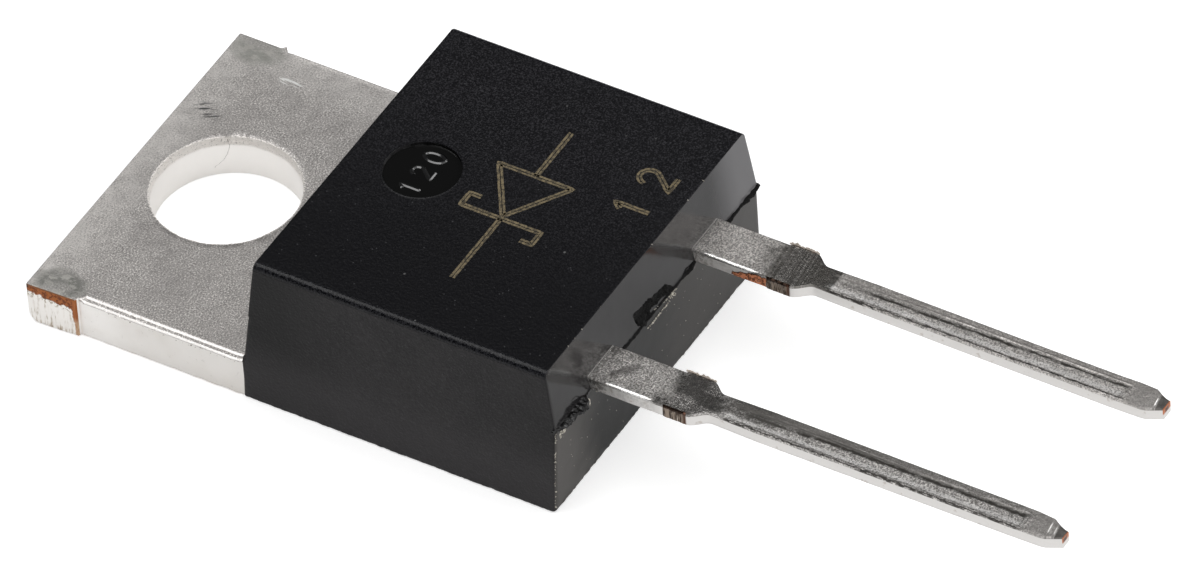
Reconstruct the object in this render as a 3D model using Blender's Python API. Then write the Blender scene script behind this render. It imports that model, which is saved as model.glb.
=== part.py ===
"""A two-lead schottky diode in a moulded package with a flat metal tab, lying on the tab's back.

X runs across the package, Y along it with the tab at +Y and the leads at -Y, and Z up from the tab's back.
The origin is on that back, under the middle of the overall length. Outlines of such packages are drawn from
the tab's end edge, so a place along the part is written here as a distance from that edge.
"""

import math

import bmesh
import bpy
from mathutils import Vector

MM = 0.001

# Lengths along the part: bare tab, moulded body, bare lead.
TAB_LENGTH = 6.20 * MM
BODY_LENGTH = 9.13 * MM
LEAD_LENGTH = 13.07 * MM

# The gap that is kept between two pieces that touch on the real part.
FIT_GAP = 0.01 * MM

# Heatsink tab: the two ears at its end are the sheared stubs of the strip it was stamped in.
TAB_WIDTH = 10.08 * MM
TAB_THICKNESS = 1.26 * MM
TAB_CORNER_RADIUS = 0.10 * MM
TAB_SIDE_ROLL = 0.05 * MM
TAB_END_ROLL_LENGTH = 0.37 * MM
TAB_END_ROLL_HEIGHT = 0.35 * MM
EAR_STEP = 0.06 * MM
EAR_LENGTH = 1.41 * MM
EAR_RUNOUT = 0.19 * MM
HOLE_DIAMETER = 3.88 * MM
HOLE_FROM_END = 2.71 * MM
HOLE_LIP = 0.05 * MM
COIN_WIDTH = 0.16 * MM
COIN_DEPTH_AT_EAR = 0.15 * MM
COIN_DEPTH_AT_BODY = 0.06 * MM

# Die paddle: the tab's continuation inside the body, undercut so that the moulding holds it.
PADDLE_WIDTH = 8.40 * MM
PADDLE_LENGTH = 6.50 * MM
UNDERCUT_INSET = 0.30 * MM
UNDERCUT_HEIGHT = 0.45 * MM

# Leads: a wide root, the sheared stub of the tie bar, a shoulder, and a narrow shank with a coined channel.
LEAD_PITCH = 5.08 * MM
LEAD_THICKNESS = 0.39 * MM
LEAD_UNDERSIDE = 2.73 * MM
ROOT_WIDTH = 1.24 * MM
STUB_FROM_BODY = 2.05 * MM
STUB_LENGTH = 0.71 * MM
STUB_WIDTH = 1.35 * MM
STUB_RUNOUT = 0.03 * MM
SHOULDER_LENGTH = 0.52 * MM
SHANK_WIDTH = 0.73 * MM
TIP_LENGTH = 0.55 * MM
TIP_WIDTH = 0.26 * MM
TIP_BEVEL_LENGTH = 0.28 * MM
TIP_BEVEL_DEPTH = 0.08 * MM
EDGE_ROLL = 0.035 * MM
CHANNEL_WIDTH = 0.43 * MM
CHANNEL_DEPTH = 0.03 * MM
CHANNEL_FROM_SHOULDER = 0.45 * MM
CHANNEL_FROM_TIP = 0.55 * MM
CHANNEL_RUNOUT = 0.06 * MM

# Moulded body: each end face leans back above the mould's parting plane, and the lead end below it too.
BODY_HEIGHT = 4.51 * MM
BODY_SIDE_INSET = 0.055 * MM
BODY_STANDOFF = 0.02 * MM
SIDE_DRAFT = math.radians(2.35)
END_DRAFT = math.radians(7.5)
LOWER_END_DRAFT = math.radians(3.5)
TAB_END_LEDGE = 0.05 * MM
TOP_EDGE_RADIUS = 0.12 * MM
PIN_MARK_DIAMETER = 2.0 * MM
PIN_MARK_DEPTH = 0.06 * MM
PIN_MARK_FROM_END = 8.71 * MM
PIN_MARK_OFFSET = 0.09 * MM
GATE_WIDTH = 1.75 * MM
GATE_HEIGHT = 0.50 * MM
GATE_PROUD = 0.07 * MM
GATE_TAPER = 0.18 * MM

# Cathode neck: the thin strip that is formed up from the paddle to the height of the leads.
NECK_WIDTH = 2.00 * MM
NECK_FLAT = 0.25 * MM
NECK_RISE_LENGTH = 1.10 * MM
NECK_BEND_RADIUS = 0.35 * MM
NECK_TAPER_LENGTH = 0.45 * MM

# Anode post: the wide inner end of the second lead, where the wires are bonded.
POST_WIDTH = 3.30 * MM
POST_OUTER_OVERHANG = 0.85 * MM
POST_LENGTH = 1.40 * MM
POST_FROM_BODY_END = 2.30 * MM
POST_TAPER_LENGTH = 0.35 * MM

# Die stack and bond wires.
SOLDER_THICKNESS = 0.06 * MM
SOLDER_BORDER = 0.12 * MM
DIE_SIZE = 3.20 * MM
DIE_THICKNESS = 0.28 * MM
DIE_FROM_BODY = 3.40 * MM
WIRE_DIAMETER = 0.38 * MM
WIRE_COUNT = 3
WIRE_DIE_SPACING = 0.90 * MM
WIRE_POST_SPACING = 0.85 * MM
WIRE_FOOT_LENGTH = 0.60 * MM
WIRE_FOOT_FLATTENING = 0.60
WIRE_LOOP_HEIGHT = 0.75 * MM
WIRE_SIDES = 10
WIRE_ARCH_STEPS = 14

# Facets.
HOLE_SEGMENTS = 64
PIN_MARK_SEGMENTS = 48
CORNER_SEGMENTS = 4
ROLL_SEGMENTS = 4
BEND_STEPS = 5
SHOULDER_STEPS = 6
SMOOTH_ANGLE = math.radians(35)

# How far a cutter reaches past what it cuts.
REACH = 1.0 * MM

BODY_END = TAB_LENGTH + BODY_LENGTH
BODY_BASE_WIDTH = TAB_WIDTH - 2 * BODY_SIDE_INSET
OVERALL_LENGTH = BODY_END + LEAD_LENGTH
LEAD_MIDDLE = LEAD_UNDERSIDE + LEAD_THICKNESS / 2
LEAD_TOP = LEAD_UNDERSIDE + LEAD_THICKNESS
PADDLE_END = TAB_LENGTH + PADDLE_LENGTH
DIE_MIDDLE = TAB_LENGTH + DIE_FROM_BODY
SOLDER_BASE = TAB_THICKNESS + FIT_GAP
DIE_BASE = SOLDER_BASE + SOLDER_THICKNESS + FIT_GAP
DIE_TOP = DIE_BASE + DIE_THICKNESS
POST_START = BODY_END - POST_FROM_BODY_END
POST_INNER_EDGE = LEAD_PITCH / 2 + POST_OUTER_OVERHANG + ROOT_WIDTH / 2 - POST_WIDTH
POST_OUTER_EDGE = POST_INNER_EDGE + POST_WIDTH


def along(distance):
    """The Y of a place that lies this far from the tab's end edge."""
    return OVERALL_LENGTH / 2 - distance


def clear_scene():
    for obj in list(bpy.data.objects):
        bpy.data.objects.remove(obj, do_unlink=True)


def make_material(name, colour, roughness, metallic):
    material = bpy.data.materials.new(name)
    material.use_nodes = True
    shader = material.node_tree.nodes["Principled BSDF"]
    shader.inputs["Base Color"].default_value = (*colour, 1.0)
    shader.inputs["Roughness"].default_value = roughness
    shader.inputs["Metallic"].default_value = metallic
    return material


def object_from(name, bm):
    """An object that owns the bmesh, with its faces turned outwards and its curves shaded smooth."""
    bmesh.ops.recalc_face_normals(bm, faces=bm.faces)
    mesh = bpy.data.meshes.new(name)
    bm.to_mesh(mesh)
    bm.free()
    mesh.shade_smooth()
    mesh.set_sharp_from_angle(angle=SMOOTH_ANGLE)
    obj = bpy.data.objects.new(name, mesh)
    bpy.context.scene.collection.objects.link(obj)
    return obj


def piece(name, bm, material):
    obj = object_from(name, bm)
    obj.data.materials.append(material)
    return obj


def apply_tool(target, name, bm, operation):
    """Cuts the bmesh from the target, or joins it to the target, with a modifier that stays live."""
    tool = object_from(name, bm)
    tool.hide_render = True
    tool.display_type = "WIRE"
    modifier = target.modifiers.new(name, "BOOLEAN")
    modifier.operation = operation
    modifier.solver = "EXACT"
    modifier.object = tool


def join(target, name, bm):
    apply_tool(target, name, bm, "UNION")


def cut(target, name, bm):
    apply_tool(target, name, bm, "DIFFERENCE")


def loft(rings):
    """A closed solid through rings of points, each ring with as many points as the last."""
    bm = bmesh.new()
    rows = [[bm.verts.new(point) for point in ring] for ring in rings]
    count = len(rows[0])
    for row, following in zip(rows, rows[1:]):
        for i in range(count):
            j = (i + 1) % count
            bm.faces.new((row[i], row[j], following[j], following[i]))
    bm.faces.new(reversed(rows[0]))
    bm.faces.new(rows[-1])
    return bm


def prism(outline, low, high):
    """An outline of (x, y) points carried from one height to another."""
    return loft([[(x, y, z) for x, y in outline] for z in (low, high)])


def block(half_width, start, end, low, high):
    """A box across the middle of the package, between two distances from the tab's end edge."""
    corners = ((-half_width, start), (half_width, start), (half_width, end), (-half_width, end))
    return prism([(x, along(distance)) for x, distance in corners], low, high)


def round_prism(radius, centre, low, high, segments, low_radius=None):
    """A cylinder, or a cone frustum where the lower radius differs."""
    rings = []
    for r, z in ((radius if low_radius is None else low_radius, low), (radius, high)):
        turns = [2 * math.pi * i / segments for i in range(segments)]
        rings.append([(centre[0] + r * math.cos(a), centre[1] + r * math.sin(a), z) for a in turns])
    return loft(rings)


def rolled_back(height, roll_height, roll_length):
    """How far a rounded lower edge lies back from the outline above it."""
    share = max(0.0, 1 - height / roll_height)
    return roll_length * (1 - math.sqrt(1 - share * share))


def tab_outline(height):
    """The bare tab from above: ears at the end with rounded corners, then the straight sides."""
    end = rolled_back(height, TAB_END_ROLL_HEIGHT, TAB_END_ROLL_LENGTH)
    side = TAB_WIDTH / 2 - rolled_back(height, TAB_SIDE_ROLL, TAB_SIDE_ROLL)
    ear = side + EAR_STEP
    half = []
    for i in range(CORNER_SEGMENTS + 1):
        turn = math.pi / 2 * i / CORNER_SEGMENTS
        x = ear - TAB_CORNER_RADIUS * (1 - math.sin(turn))
        half.append((x, end + TAB_CORNER_RADIUS * (1 - math.cos(turn))))
    half += [(ear, EAR_LENGTH), (side, EAR_LENGTH + EAR_RUNOUT), (side, TAB_LENGTH)]
    mirrored = [(-x, distance) for x, distance in reversed(half)]
    return [(x, along(distance)) for x, distance in half + mirrored]


def tab_block():
    """The bare tab, with the round lower edges that stamping leaves."""
    heights = {TAB_THICKNESS}
    for roll in (TAB_SIDE_ROLL, TAB_END_ROLL_HEIGHT):
        for i in range(ROLL_SEGMENTS + 1):
            heights.add(roll * (1 - math.cos(math.pi / 2 * i / ROLL_SEGMENTS)))
    return loft([[(x, y, z) for x, y in tab_outline(z)] for z in sorted(heights)])


def paddle_parts(grow):
    """The paddle's lower and upper steps, as (half width, end, low, high), grown by a clearance."""
    half = PADDLE_WIDTH / 2 + grow
    end = PADDLE_END + grow
    inset = UNDERCUT_INSET
    upper_low = UNDERCUT_HEIGHT - grow
    top = TAB_THICKNESS + grow
    return (("lower", half - inset, end - inset, top), ("upper", half, end, top)), upper_low


def cross_section(left, right, middle, lean, distance, thickness, roll, channel):
    """A strip's section: flat below, rolled upper edges, and a shallow round channel down its top."""
    half = thickness / 2
    centre = (left + right) / 2
    channel_half = min(CHANNEL_WIDTH / 2, 0.3 * (right - left))
    points = [
        (left, -half),
        (right, -half),
        (right, half - roll),
        (right - roll, half),
        (centre + channel_half, half),
        (centre + channel_half / 2, half - 0.75 * channel),
        (centre, half - channel),
        (centre - channel_half / 2, half - 0.75 * channel),
        (centre - channel_half, half),
        (left + roll, half),
        (left, half - roll),
    ]
    return [
        (x, along(distance - up * math.sin(lean)), middle + up * math.cos(lean)) for x, up in points
    ]


def strip(stations, grow=0.0):
    """A solid through stations of (distance, middle height, lean, left edge, right edge, channel depth)."""
    roll = 0.0 if grow else EDGE_ROLL
    thickness = LEAD_THICKNESS + 2 * grow
    rings = []
    for distance, middle, lean, left, right, channel in stations:
        depth = 0.0 if grow else channel
        rings.append(
            cross_section(left - grow, right + grow, middle, lean, distance, thickness, roll, depth)
        )
    if roll:
        return loft(rings)
    return loft([[ring[0], ring[1], ring[2], ring[10]] for ring in rings])


def smooth_step(share):
    return share * share * (3 - 2 * share)


def outer_lead(centre):
    """Stations of the bare lead, from inside the body's end wall to the tip."""
    stub_start = BODY_END + STUB_FROM_BODY
    stub_end = stub_start + STUB_LENGTH
    shank_start = stub_end + SHOULDER_LENGTH
    channel_start = shank_start + CHANNEL_FROM_SHOULDER
    tip_start = OVERALL_LENGTH - TIP_LENGTH
    channel_end = tip_start - CHANNEL_FROM_TIP
    stub = STUB_WIDTH / 2
    shank = SHANK_WIDTH / 2
    widths = [
        (stub_start, ROOT_WIDTH / 2, 0.0),
        (stub_start + STUB_RUNOUT, stub, 0.0),
    ]
    for i in range(SHOULDER_STEPS + 1):
        share = i / SHOULDER_STEPS
        half = stub + (shank - stub) * smooth_step(share)
        widths.append((stub_end + SHOULDER_LENGTH * share, half, 0.0))
    widths += [
        (channel_start, shank, 0.0),
        (channel_start + CHANNEL_RUNOUT, shank, CHANNEL_DEPTH),
        (channel_end - CHANNEL_RUNOUT, shank, CHANNEL_DEPTH),
        (channel_end, shank, 0.0),
        (tip_start, shank, 0.0),
        (OVERALL_LENGTH, TIP_WIDTH / 2, 0.0),
    ]
    return [(s, LEAD_MIDDLE, 0.0, centre - half, centre + half, depth) for s, half, depth in widths]


def bent_path(corners, radius):
    """Points of a centreline of (distance, height) with round bends, each with the angle it climbs at."""
    path = [Vector(corner) for corner in corners]
    climbs = [math.atan2(b.y - a.y, b.x - a.x) for a, b in zip(path, path[1:])]
    points = [(path[0].x, path[0].y, climbs[0])]
    for corner, before, after in zip(path[1:-1], climbs, climbs[1:]):
        reach = radius * math.tan(abs(after - before) / 2)
        start = corner - reach * Vector((math.cos(before), math.sin(before)))
        side = math.copysign(1, after - before)
        centre = start + radius * side * Vector((-math.sin(before), math.cos(before)))
        for i in range(BEND_STEPS + 1):
            climb = before + (after - before) * i / BEND_STEPS
            spot = centre + radius * side * Vector((math.sin(climb), -math.cos(climb)))
            points.append((spot.x, spot.y, climb))
    points.append((path[-1].x, path[-1].y, climbs[-1]))
    return points


def inner_cathode():
    """Stations of the neck, from inside the paddle's end up to the body's end wall."""
    low = TAB_THICKNESS - LEAD_THICKNESS / 2
    rise_start = PADDLE_END + NECK_FLAT
    rise_end = rise_start + NECK_RISE_LENGTH
    taper_start = rise_end + NECK_BEND_RADIUS
    corners = (
        (PADDLE_END - NECK_WIDTH / 4, low),
        (rise_start, low),
        (rise_end, LEAD_MIDDLE),
        (taper_start, LEAD_MIDDLE),
    )
    centre = -LEAD_PITCH / 2
    neck = NECK_WIDTH / 2
    root = ROOT_WIDTH / 2
    stations = [
        (s, z, climb, centre - neck, centre + neck, 0.0)
        for s, z, climb in bent_path(corners, NECK_BEND_RADIUS)
    ]
    taper_end = taper_start + NECK_TAPER_LENGTH
    stations.append((taper_end, LEAD_MIDDLE, 0.0, centre - root, centre + root, 0.0))
    return stations


def inner_anode():
    """Stations of the bond post and its taper down to the lead's root."""
    centre = LEAD_PITCH / 2
    root = ROOT_WIDTH / 2
    taper_start = POST_START + POST_LENGTH
    taper_end = taper_start + POST_TAPER_LENGTH
    return [
        (POST_START, LEAD_MIDDLE, 0.0, POST_INNER_EDGE, POST_OUTER_EDGE, 0.0),
        (taper_start, LEAD_MIDDLE, 0.0, POST_INNER_EDGE, POST_OUTER_EDGE, 0.0),
        (taper_end, LEAD_MIDDLE, 0.0, centre - root, centre + root, 0.0),
    ]


def lead_slot(inner, centre):
    """The space that a lead's inner end leaves in the moulding, carried out through the end wall."""
    root = ROOT_WIDTH / 2
    first = list(inner[0])
    first[0] -= FIT_GAP
    leaving = (BODY_END + REACH, LEAD_MIDDLE, 0.0, centre - root, centre + root, 0.0)
    return strip([tuple(first), *inner[1:], leaving], grow=FIT_GAP)


def tip_bevel(centre):
    """The wedge that the cut-off tool pressed down at a lead's tip."""
    slope = TIP_BEVEL_DEPTH / TIP_BEVEL_LENGTH
    rings = []
    for x in (centre - SHANK_WIDTH, centre + SHANK_WIDTH):
        start = OVERALL_LENGTH - TIP_BEVEL_LENGTH
        end = OVERALL_LENGTH + TIP_BEVEL_LENGTH
        low = LEAD_TOP - 2 * TIP_BEVEL_LENGTH * slope
        high = LEAD_TOP + TIP_BEVEL_LENGTH
        corners = ((start, LEAD_TOP), (end, low), (end, high), (start, high))
        rings.append([(x, along(distance), z) for distance, z in corners])
    return loft(rings)


def coin_wedge(side):
    """The sliver that coining pressed down along a side of the tab, deepest beside the ear."""
    inner = side * (TAB_WIDTH / 2 - COIN_WIDTH)
    outer = side * (TAB_WIDTH / 2 + EAR_STEP + COIN_WIDTH)
    spread = abs(outer - inner) / COIN_WIDTH
    rings = []
    ends = ((EAR_LENGTH + EAR_RUNOUT, COIN_DEPTH_AT_EAR), (TAB_LENGTH + REACH, COIN_DEPTH_AT_BODY))
    for distance, depth in ends:
        y = along(distance)
        rings.append(
            (
                (inner, y, TAB_THICKNESS),
                (outer, y, TAB_THICKNESS - depth * spread),
                (outer, y, TAB_THICKNESS + REACH),
                (inner, y, TAB_THICKNESS + REACH),
            )
        )
    return loft(rings)


def make_cathode_frame(material):
    """Tab, paddle, neck and cathode lead: one stamped and formed piece of thick-and-thin strip."""
    frame = piece("cathode_tab_and_lead", tab_block(), material)
    for name, side in (("coin_near", -1), ("coin_far", 1)):
        cut(frame, name, coin_wedge(side))
    steps, upper_low = paddle_parts(0.0)
    overlap = TAB_LENGTH - UNDERCUT_INSET
    for name, half, end, top in steps:
        low = upper_low if name == "upper" else 0.0
        join(frame, f"paddle_{name}", block(half, overlap, end, low, top))
    join(frame, "cathode_strip", strip(inner_cathode() + outer_lead(-LEAD_PITCH / 2)))
    cut(frame, "cathode_tip_bevel", tip_bevel(-LEAD_PITCH / 2))
    centre = (0.0, along(HOLE_FROM_END))
    radius = HOLE_DIAMETER / 2
    cut(frame, "screw_hole", round_prism(radius, centre, -REACH, TAB_THICKNESS + REACH, HOLE_SEGMENTS))
    lip = round_prism(
        radius + 2 * HOLE_LIP,
        centre,
        TAB_THICKNESS - HOLE_LIP,
        TAB_THICKNESS + HOLE_LIP,
        HOLE_SEGMENTS,
        low_radius=radius,
    )
    cut(frame, "hole_lip", lip)
    return frame


def make_anode_lead(material):
    """The second lead with its bond post, held only by the moulding."""
    lead = piece("anode_lead", strip(inner_anode() + outer_lead(LEAD_PITCH / 2)), material)
    cut(lead, "anode_tip_bevel", tip_bevel(LEAD_PITCH / 2))
    return lead


def body_half_width(height):
    return BODY_BASE_WIDTH / 2 - height * math.tan(SIDE_DRAFT)


def body_profile():
    """The body from the side, as (distance, height): it leans back from each parting plane."""
    start = TAB_LENGTH + FIT_GAP
    top_start = start + TAB_END_LEDGE + (BODY_HEIGHT - TAB_THICKNESS) * math.tan(END_DRAFT)
    top_end = BODY_END - (BODY_HEIGHT - LEAD_UNDERSIDE) * math.tan(END_DRAFT)
    base_end = BODY_END - (LEAD_UNDERSIDE - BODY_STANDOFF) * math.tan(LOWER_END_DRAFT)
    return (
        (start, BODY_STANDOFF),
        (start, TAB_THICKNESS),
        (start + TAB_END_LEDGE, TAB_THICKNESS),
        (top_start, BODY_HEIGHT),
        (top_end, BODY_HEIGHT),
        (BODY_END, LEAD_UNDERSIDE),
        (base_end, BODY_STANDOFF),
    )


def body_block():
    """The drafted block, with its two long upper edges rounded."""
    rings = []
    for side in (-1, 1):
        rings.append([(side * body_half_width(z), along(s), z) for s, z in body_profile()])
    bm = loft(rings)
    long_edges = [
        edge
        for edge in bm.edges
        if all(math.isclose(v.co.z, BODY_HEIGHT, abs_tol=1e-9) for v in edge.verts)
        and edge.verts[0].co.x * edge.verts[1].co.x > 0
    ]
    bmesh.ops.bevel(
        bm,
        geom=long_edges,
        offset=TOP_EDGE_RADIUS,
        offset_type="OFFSET",
        segments=CORNER_SEGMENTS,
        profile=0.5,
        affect="EDGES",
    )
    return bm


def gate_stub():
    """The broken-off gate in the middle of the lead end, just above the parting plane."""
    rings = []
    half = GATE_WIDTH / 2
    lean = GATE_HEIGHT * math.tan(END_DRAFT)
    for proud, shrink in ((-REACH, 0.0), (GATE_PROUD, GATE_TAPER)):
        low = LEAD_UNDERSIDE
        high = LEAD_UNDERSIDE + GATE_HEIGHT - shrink
        rings.append(
            (
                (-half + shrink, along(BODY_END + proud), low),
                (half - shrink, along(BODY_END + proud), low),
                (half - shrink - GATE_TAPER, along(BODY_END + proud - lean), high),
                (-half + shrink + GATE_TAPER / 2, along(BODY_END + proud - lean), high),
            )
        )
    return loft(rings)


def die_block(size, low, high, grow):
    half = size / 2 + grow
    return block(half, DIE_MIDDLE - half, DIE_MIDDLE + half, low - grow, high + grow)


def wire_ends(index):
    """Where a wire's foot starts on the die and where the other one ends on the post, as (x, distance)."""
    rank = index - (WIRE_COUNT - 1) / 2
    post_middle = (POST_INNER_EDGE + POST_OUTER_EDGE) / 2
    return (
        (rank * WIRE_DIE_SPACING, DIE_MIDDLE - WIRE_FOOT_LENGTH / 2),
        (post_middle + rank * WIRE_POST_SPACING, POST_START + POST_LENGTH / 2 + WIRE_FOOT_LENGTH / 2),
    )


def wire(index, grow=0.0):
    """A bond wire: a wedge foot on the die, a round arch, and a wedge foot on the anode post."""
    (x0, s0), (x1, s1) = wire_ends(index)
    plan = Vector((x1 - x0, s1 - s0))
    run = plan.length
    heading = plan / run
    radius = WIRE_DIAMETER / 2
    foot = WIRE_FOOT_LENGTH
    flat = WIRE_FOOT_FLATTENING
    foot_rise = radius * flat + FIT_GAP
    low = DIE_TOP + foot_rise
    high = LEAD_TOP + foot_rise
    crown = LEAD_TOP + WIRE_LOOP_HEIGHT
    knots = (
        Vector((foot, low)),
        Vector((foot + 0.12 * (run - 2 * foot), crown)),
        Vector((foot + 0.60 * (run - 2 * foot), crown + 0.4 * WIRE_LOOP_HEIGHT)),
        Vector((run - foot, high)),
    )
    path = [(Vector((0.0, low)), flat)]
    for i in range(WIRE_ARCH_STEPS + 1):
        t = i / WIRE_ARCH_STEPS
        weights = ((1 - t) ** 3, 3 * t * (1 - t) ** 2, 3 * t * t * (1 - t), t**3)
        spot = sum((k * w for k, w in zip(knots, weights)), Vector((0.0, 0.0)))
        lift = min(1.0, 4 * min(t, 1 - t))
        path.append((spot, flat + (1 - flat) * smooth_step(lift)))
    path.append((Vector((run, high)), flat))
    rings = []
    for i, (spot, press) in enumerate(path):
        before = path[max(i - 1, 0)][0]
        after = path[min(i + 1, len(path) - 1)][0]
        on_foot = i in (0, 1, len(path) - 2, len(path) - 1)
        direction = Vector((1.0, 0.0)) if on_foot else (after - before).normalized()
        up = radius * press + grow
        across = radius * (1 + (1 - press) / 2) + grow
        ring = []
        for k in range(WIRE_SIDES):
            turn = 2 * math.pi * (k + 0.5) / WIRE_SIDES
            level = up * math.sin(turn) / math.sin(2 * math.pi * (WIRE_SIDES // 4 + 0.5) / WIRE_SIDES)
            offset = across * math.cos(turn)
            reach = spot.x - direction.y * level
            x = x0 + heading.x * reach - heading.y * offset
            distance = s0 + heading.y * reach + heading.x * offset
            ring.append((x, along(distance), spot.y + direction.x * level))
        rings.append(ring)
    return loft(rings)


def make_die_stack(silicon, solder, aluminium):
    """Solder, die and bond wires, which the moulding seals in."""
    solder_size = DIE_SIZE + 2 * SOLDER_BORDER
    solder_top = SOLDER_BASE + SOLDER_THICKNESS
    piece("die_solder", die_block(solder_size, SOLDER_BASE, solder_top, 0.0), solder)
    piece("schottky_die", die_block(DIE_SIZE, DIE_BASE, DIE_TOP, 0.0), silicon)
    for index in range(WIRE_COUNT):
        piece(f"bond_wire_{index + 1}", wire(index), aluminium)


def make_body(material):
    """The moulded body, with the space of every piece that is sealed in it."""
    body = piece("moulded_body", body_block(), material)
    join(body, "gate_stub", gate_stub())
    centre = (PIN_MARK_OFFSET, along(PIN_MARK_FROM_END))
    floor = BODY_HEIGHT - PIN_MARK_DEPTH
    mark = round_prism(PIN_MARK_DIAMETER / 2, centre, floor, BODY_HEIGHT + REACH, PIN_MARK_SEGMENTS)
    cut(body, "pin_mark", mark)
    steps, upper_low = paddle_parts(FIT_GAP)
    for name, half, end, top in steps:
        low = upper_low if name == "upper" else -REACH
        cut(body, f"space_paddle_{name}", block(half, TAB_LENGTH - REACH, end, low, top))
    cut(body, "space_cathode", lead_slot(inner_cathode(), -LEAD_PITCH / 2))
    cut(body, "space_anode", lead_slot(inner_anode(), LEAD_PITCH / 2))
    solder_size = DIE_SIZE + 2 * SOLDER_BORDER
    solder_top = SOLDER_BASE + SOLDER_THICKNESS
    cut(body, "space_solder", die_block(solder_size, TAB_THICKNESS, solder_top, FIT_GAP))
    cut(body, "space_die", die_block(DIE_SIZE, SOLDER_BASE, DIE_TOP, FIT_GAP))
    for index in range(WIRE_COUNT):
        cut(body, f"space_wire_{index + 1}", wire(index, grow=FIT_GAP))
    return body


def build():
    clear_scene()
    tinned = make_material("tinned_copper", (0.62, 0.61, 0.59), 0.38, 1.0)
    epoxy = make_material("black_epoxy", (0.018, 0.018, 0.020), 0.55, 0.0)
    silicon = make_material("silicon", (0.16, 0.17, 0.20), 0.20, 0.6)
    solder = make_material("solder", (0.45, 0.45, 0.47), 0.45, 1.0)
    aluminium = make_material("aluminium_wire", (0.80, 0.80, 0.82), 0.30, 1.0)
    make_cathode_frame(tinned)
    make_anode_lead(tinned)
    make_die_stack(silicon, solder, aluminium)
    make_body(epoxy)


build()
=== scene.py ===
"""Looks of a two-lead schottky diode with a flat metal tab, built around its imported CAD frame.

Lengths in this file are in millimetres and are brought to metres where a mesh is made. X runs across the
package from the cathode lead to the anode lead, Y towards the tab's end and Z up. As in the package's
drawings, a place along it is a distance from the tab's end edge, which along() turns into a Y.
"""

import math

import bmesh
import bpy
import numpy as np
from mathutils import Matrix, Vector, noise


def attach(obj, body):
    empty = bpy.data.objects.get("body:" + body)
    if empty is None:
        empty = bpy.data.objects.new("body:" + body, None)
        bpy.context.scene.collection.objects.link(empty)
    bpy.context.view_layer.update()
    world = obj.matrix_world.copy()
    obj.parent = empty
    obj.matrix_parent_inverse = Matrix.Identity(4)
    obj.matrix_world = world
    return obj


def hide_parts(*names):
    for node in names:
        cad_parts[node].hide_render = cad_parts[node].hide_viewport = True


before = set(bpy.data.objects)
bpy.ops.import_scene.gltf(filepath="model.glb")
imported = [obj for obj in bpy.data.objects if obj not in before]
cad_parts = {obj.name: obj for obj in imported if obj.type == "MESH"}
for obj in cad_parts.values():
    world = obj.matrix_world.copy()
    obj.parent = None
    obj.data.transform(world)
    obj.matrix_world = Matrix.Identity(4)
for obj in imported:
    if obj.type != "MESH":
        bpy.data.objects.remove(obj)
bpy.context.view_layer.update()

MM = 0.001

# The package, as its drawing gives it.
TAB_LENGTH = 6.20
TAB_WIDTH = 10.08
TAB_THICKNESS = 1.26
EAR_STEP = 0.06
EAR_LENGTH = 1.41
EAR_RUNOUT = 0.05
HOLE_RADIUS = 1.94
HOLE_FROM_END = 2.71
PADDLE_HALF_WIDTH = 4.20
SHOULDER_HALF = 4.985
PADDLE_END = 12.70
UNDERCUT_INSET = 0.30
UNDERCUT_HEIGHT = 0.45
BODY_START = 6.21
BODY_END = 15.33
BODY_HEIGHT = 4.51
BODY_STANDOFF = 0.02
NEAR_HALF_WIDTH = 5.055
FAR_HALF_WIDTH = 5.105
NEAR_SIDE_DRAFT = math.tan(math.radians(3.24))
SIDE_DRAFT = math.tan(math.radians(2.35))
END_DRAFT = math.tan(math.radians(7.5))
LOWER_END_DRAFT = math.tan(math.radians(2.0))
TAB_END_LEDGE = 0.05
PARTING_HEIGHT = 2.73
LEAD_THICKNESS = 0.39
LEAD_MIDDLE = PARTING_HEIGHT + LEAD_THICKNESS / 2
LEAD_TOP = PARTING_HEIGHT + LEAD_THICKNESS
LEAD_CENTRES = {"cathode": -2.54, "anode": 2.54}
OVERALL_LENGTH = 28.40

# Edges and marks of the moulding.
LONG_EDGE_RADIUS = 0.16
END_EDGE_RADIUS = 0.015
FOOT_RADIUS = 0.02
BODY_CORNER_RADIUS = 0.04
LOWER_CORNER_RADIUS = 0.09
CORNER_STEPS = 4
BODY_SIDE_STEPS = (120, 150, 70, 70)
PIN_MARK_X = 0.065
PIN_MARK_FROM_END = 8.665
PIN_MARK_RADIUS = 1.0
PIN_MARK_DEPTH = 0.09

# How far the flash along the parting line reaches from the lead end, as (x, reach).
FIN_REACH = (
    (-4.98, 0.02), (-4.85, 0.06), (-4.6, 0.15), (-4.2, 0.21), (-3.9, 0.25), (-3.66, 0.26), (-3.54, 0.17),
    (-3.44, 0.05), (-3.18, 0.02), (-1.9, 0.04), (-1.5, 0.06), (-1.0, 0.06), (-0.7, 0.04), (0.7, 0.04),
    (0.9, 0.06), (1.2, 0.05), (1.6, 0.09), (1.9, 0.05), (3.18, 0.06), (3.4, 0.09), (3.8, 0.07), (4.18, 0.06),
    (4.38, 0.12), (4.68, 0.11), (4.93, 0.07), (5.01, 0.08), (5.05, 0.03),
)
# The flash's section, as (share of its reach, share of its half thickness).
FIN_SECTION = ((-0.07, 1.0), (0.2, 1.0), (0.5, 0.95), (0.8, 0.7), (0.95, 0.4), (1.0, 0.0))

# The crack in the hole's wall: where it is round the hole, and how it wanders, as (height, turn in radians).
CRACK_TURN = math.radians(30.7)
CRACK_BEND = ((0.28, 0.20), (0.36, 0.14), (0.52, 0.06), (0.72, 0.01), (0.95, -0.02), (1.16, 0.00))

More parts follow.
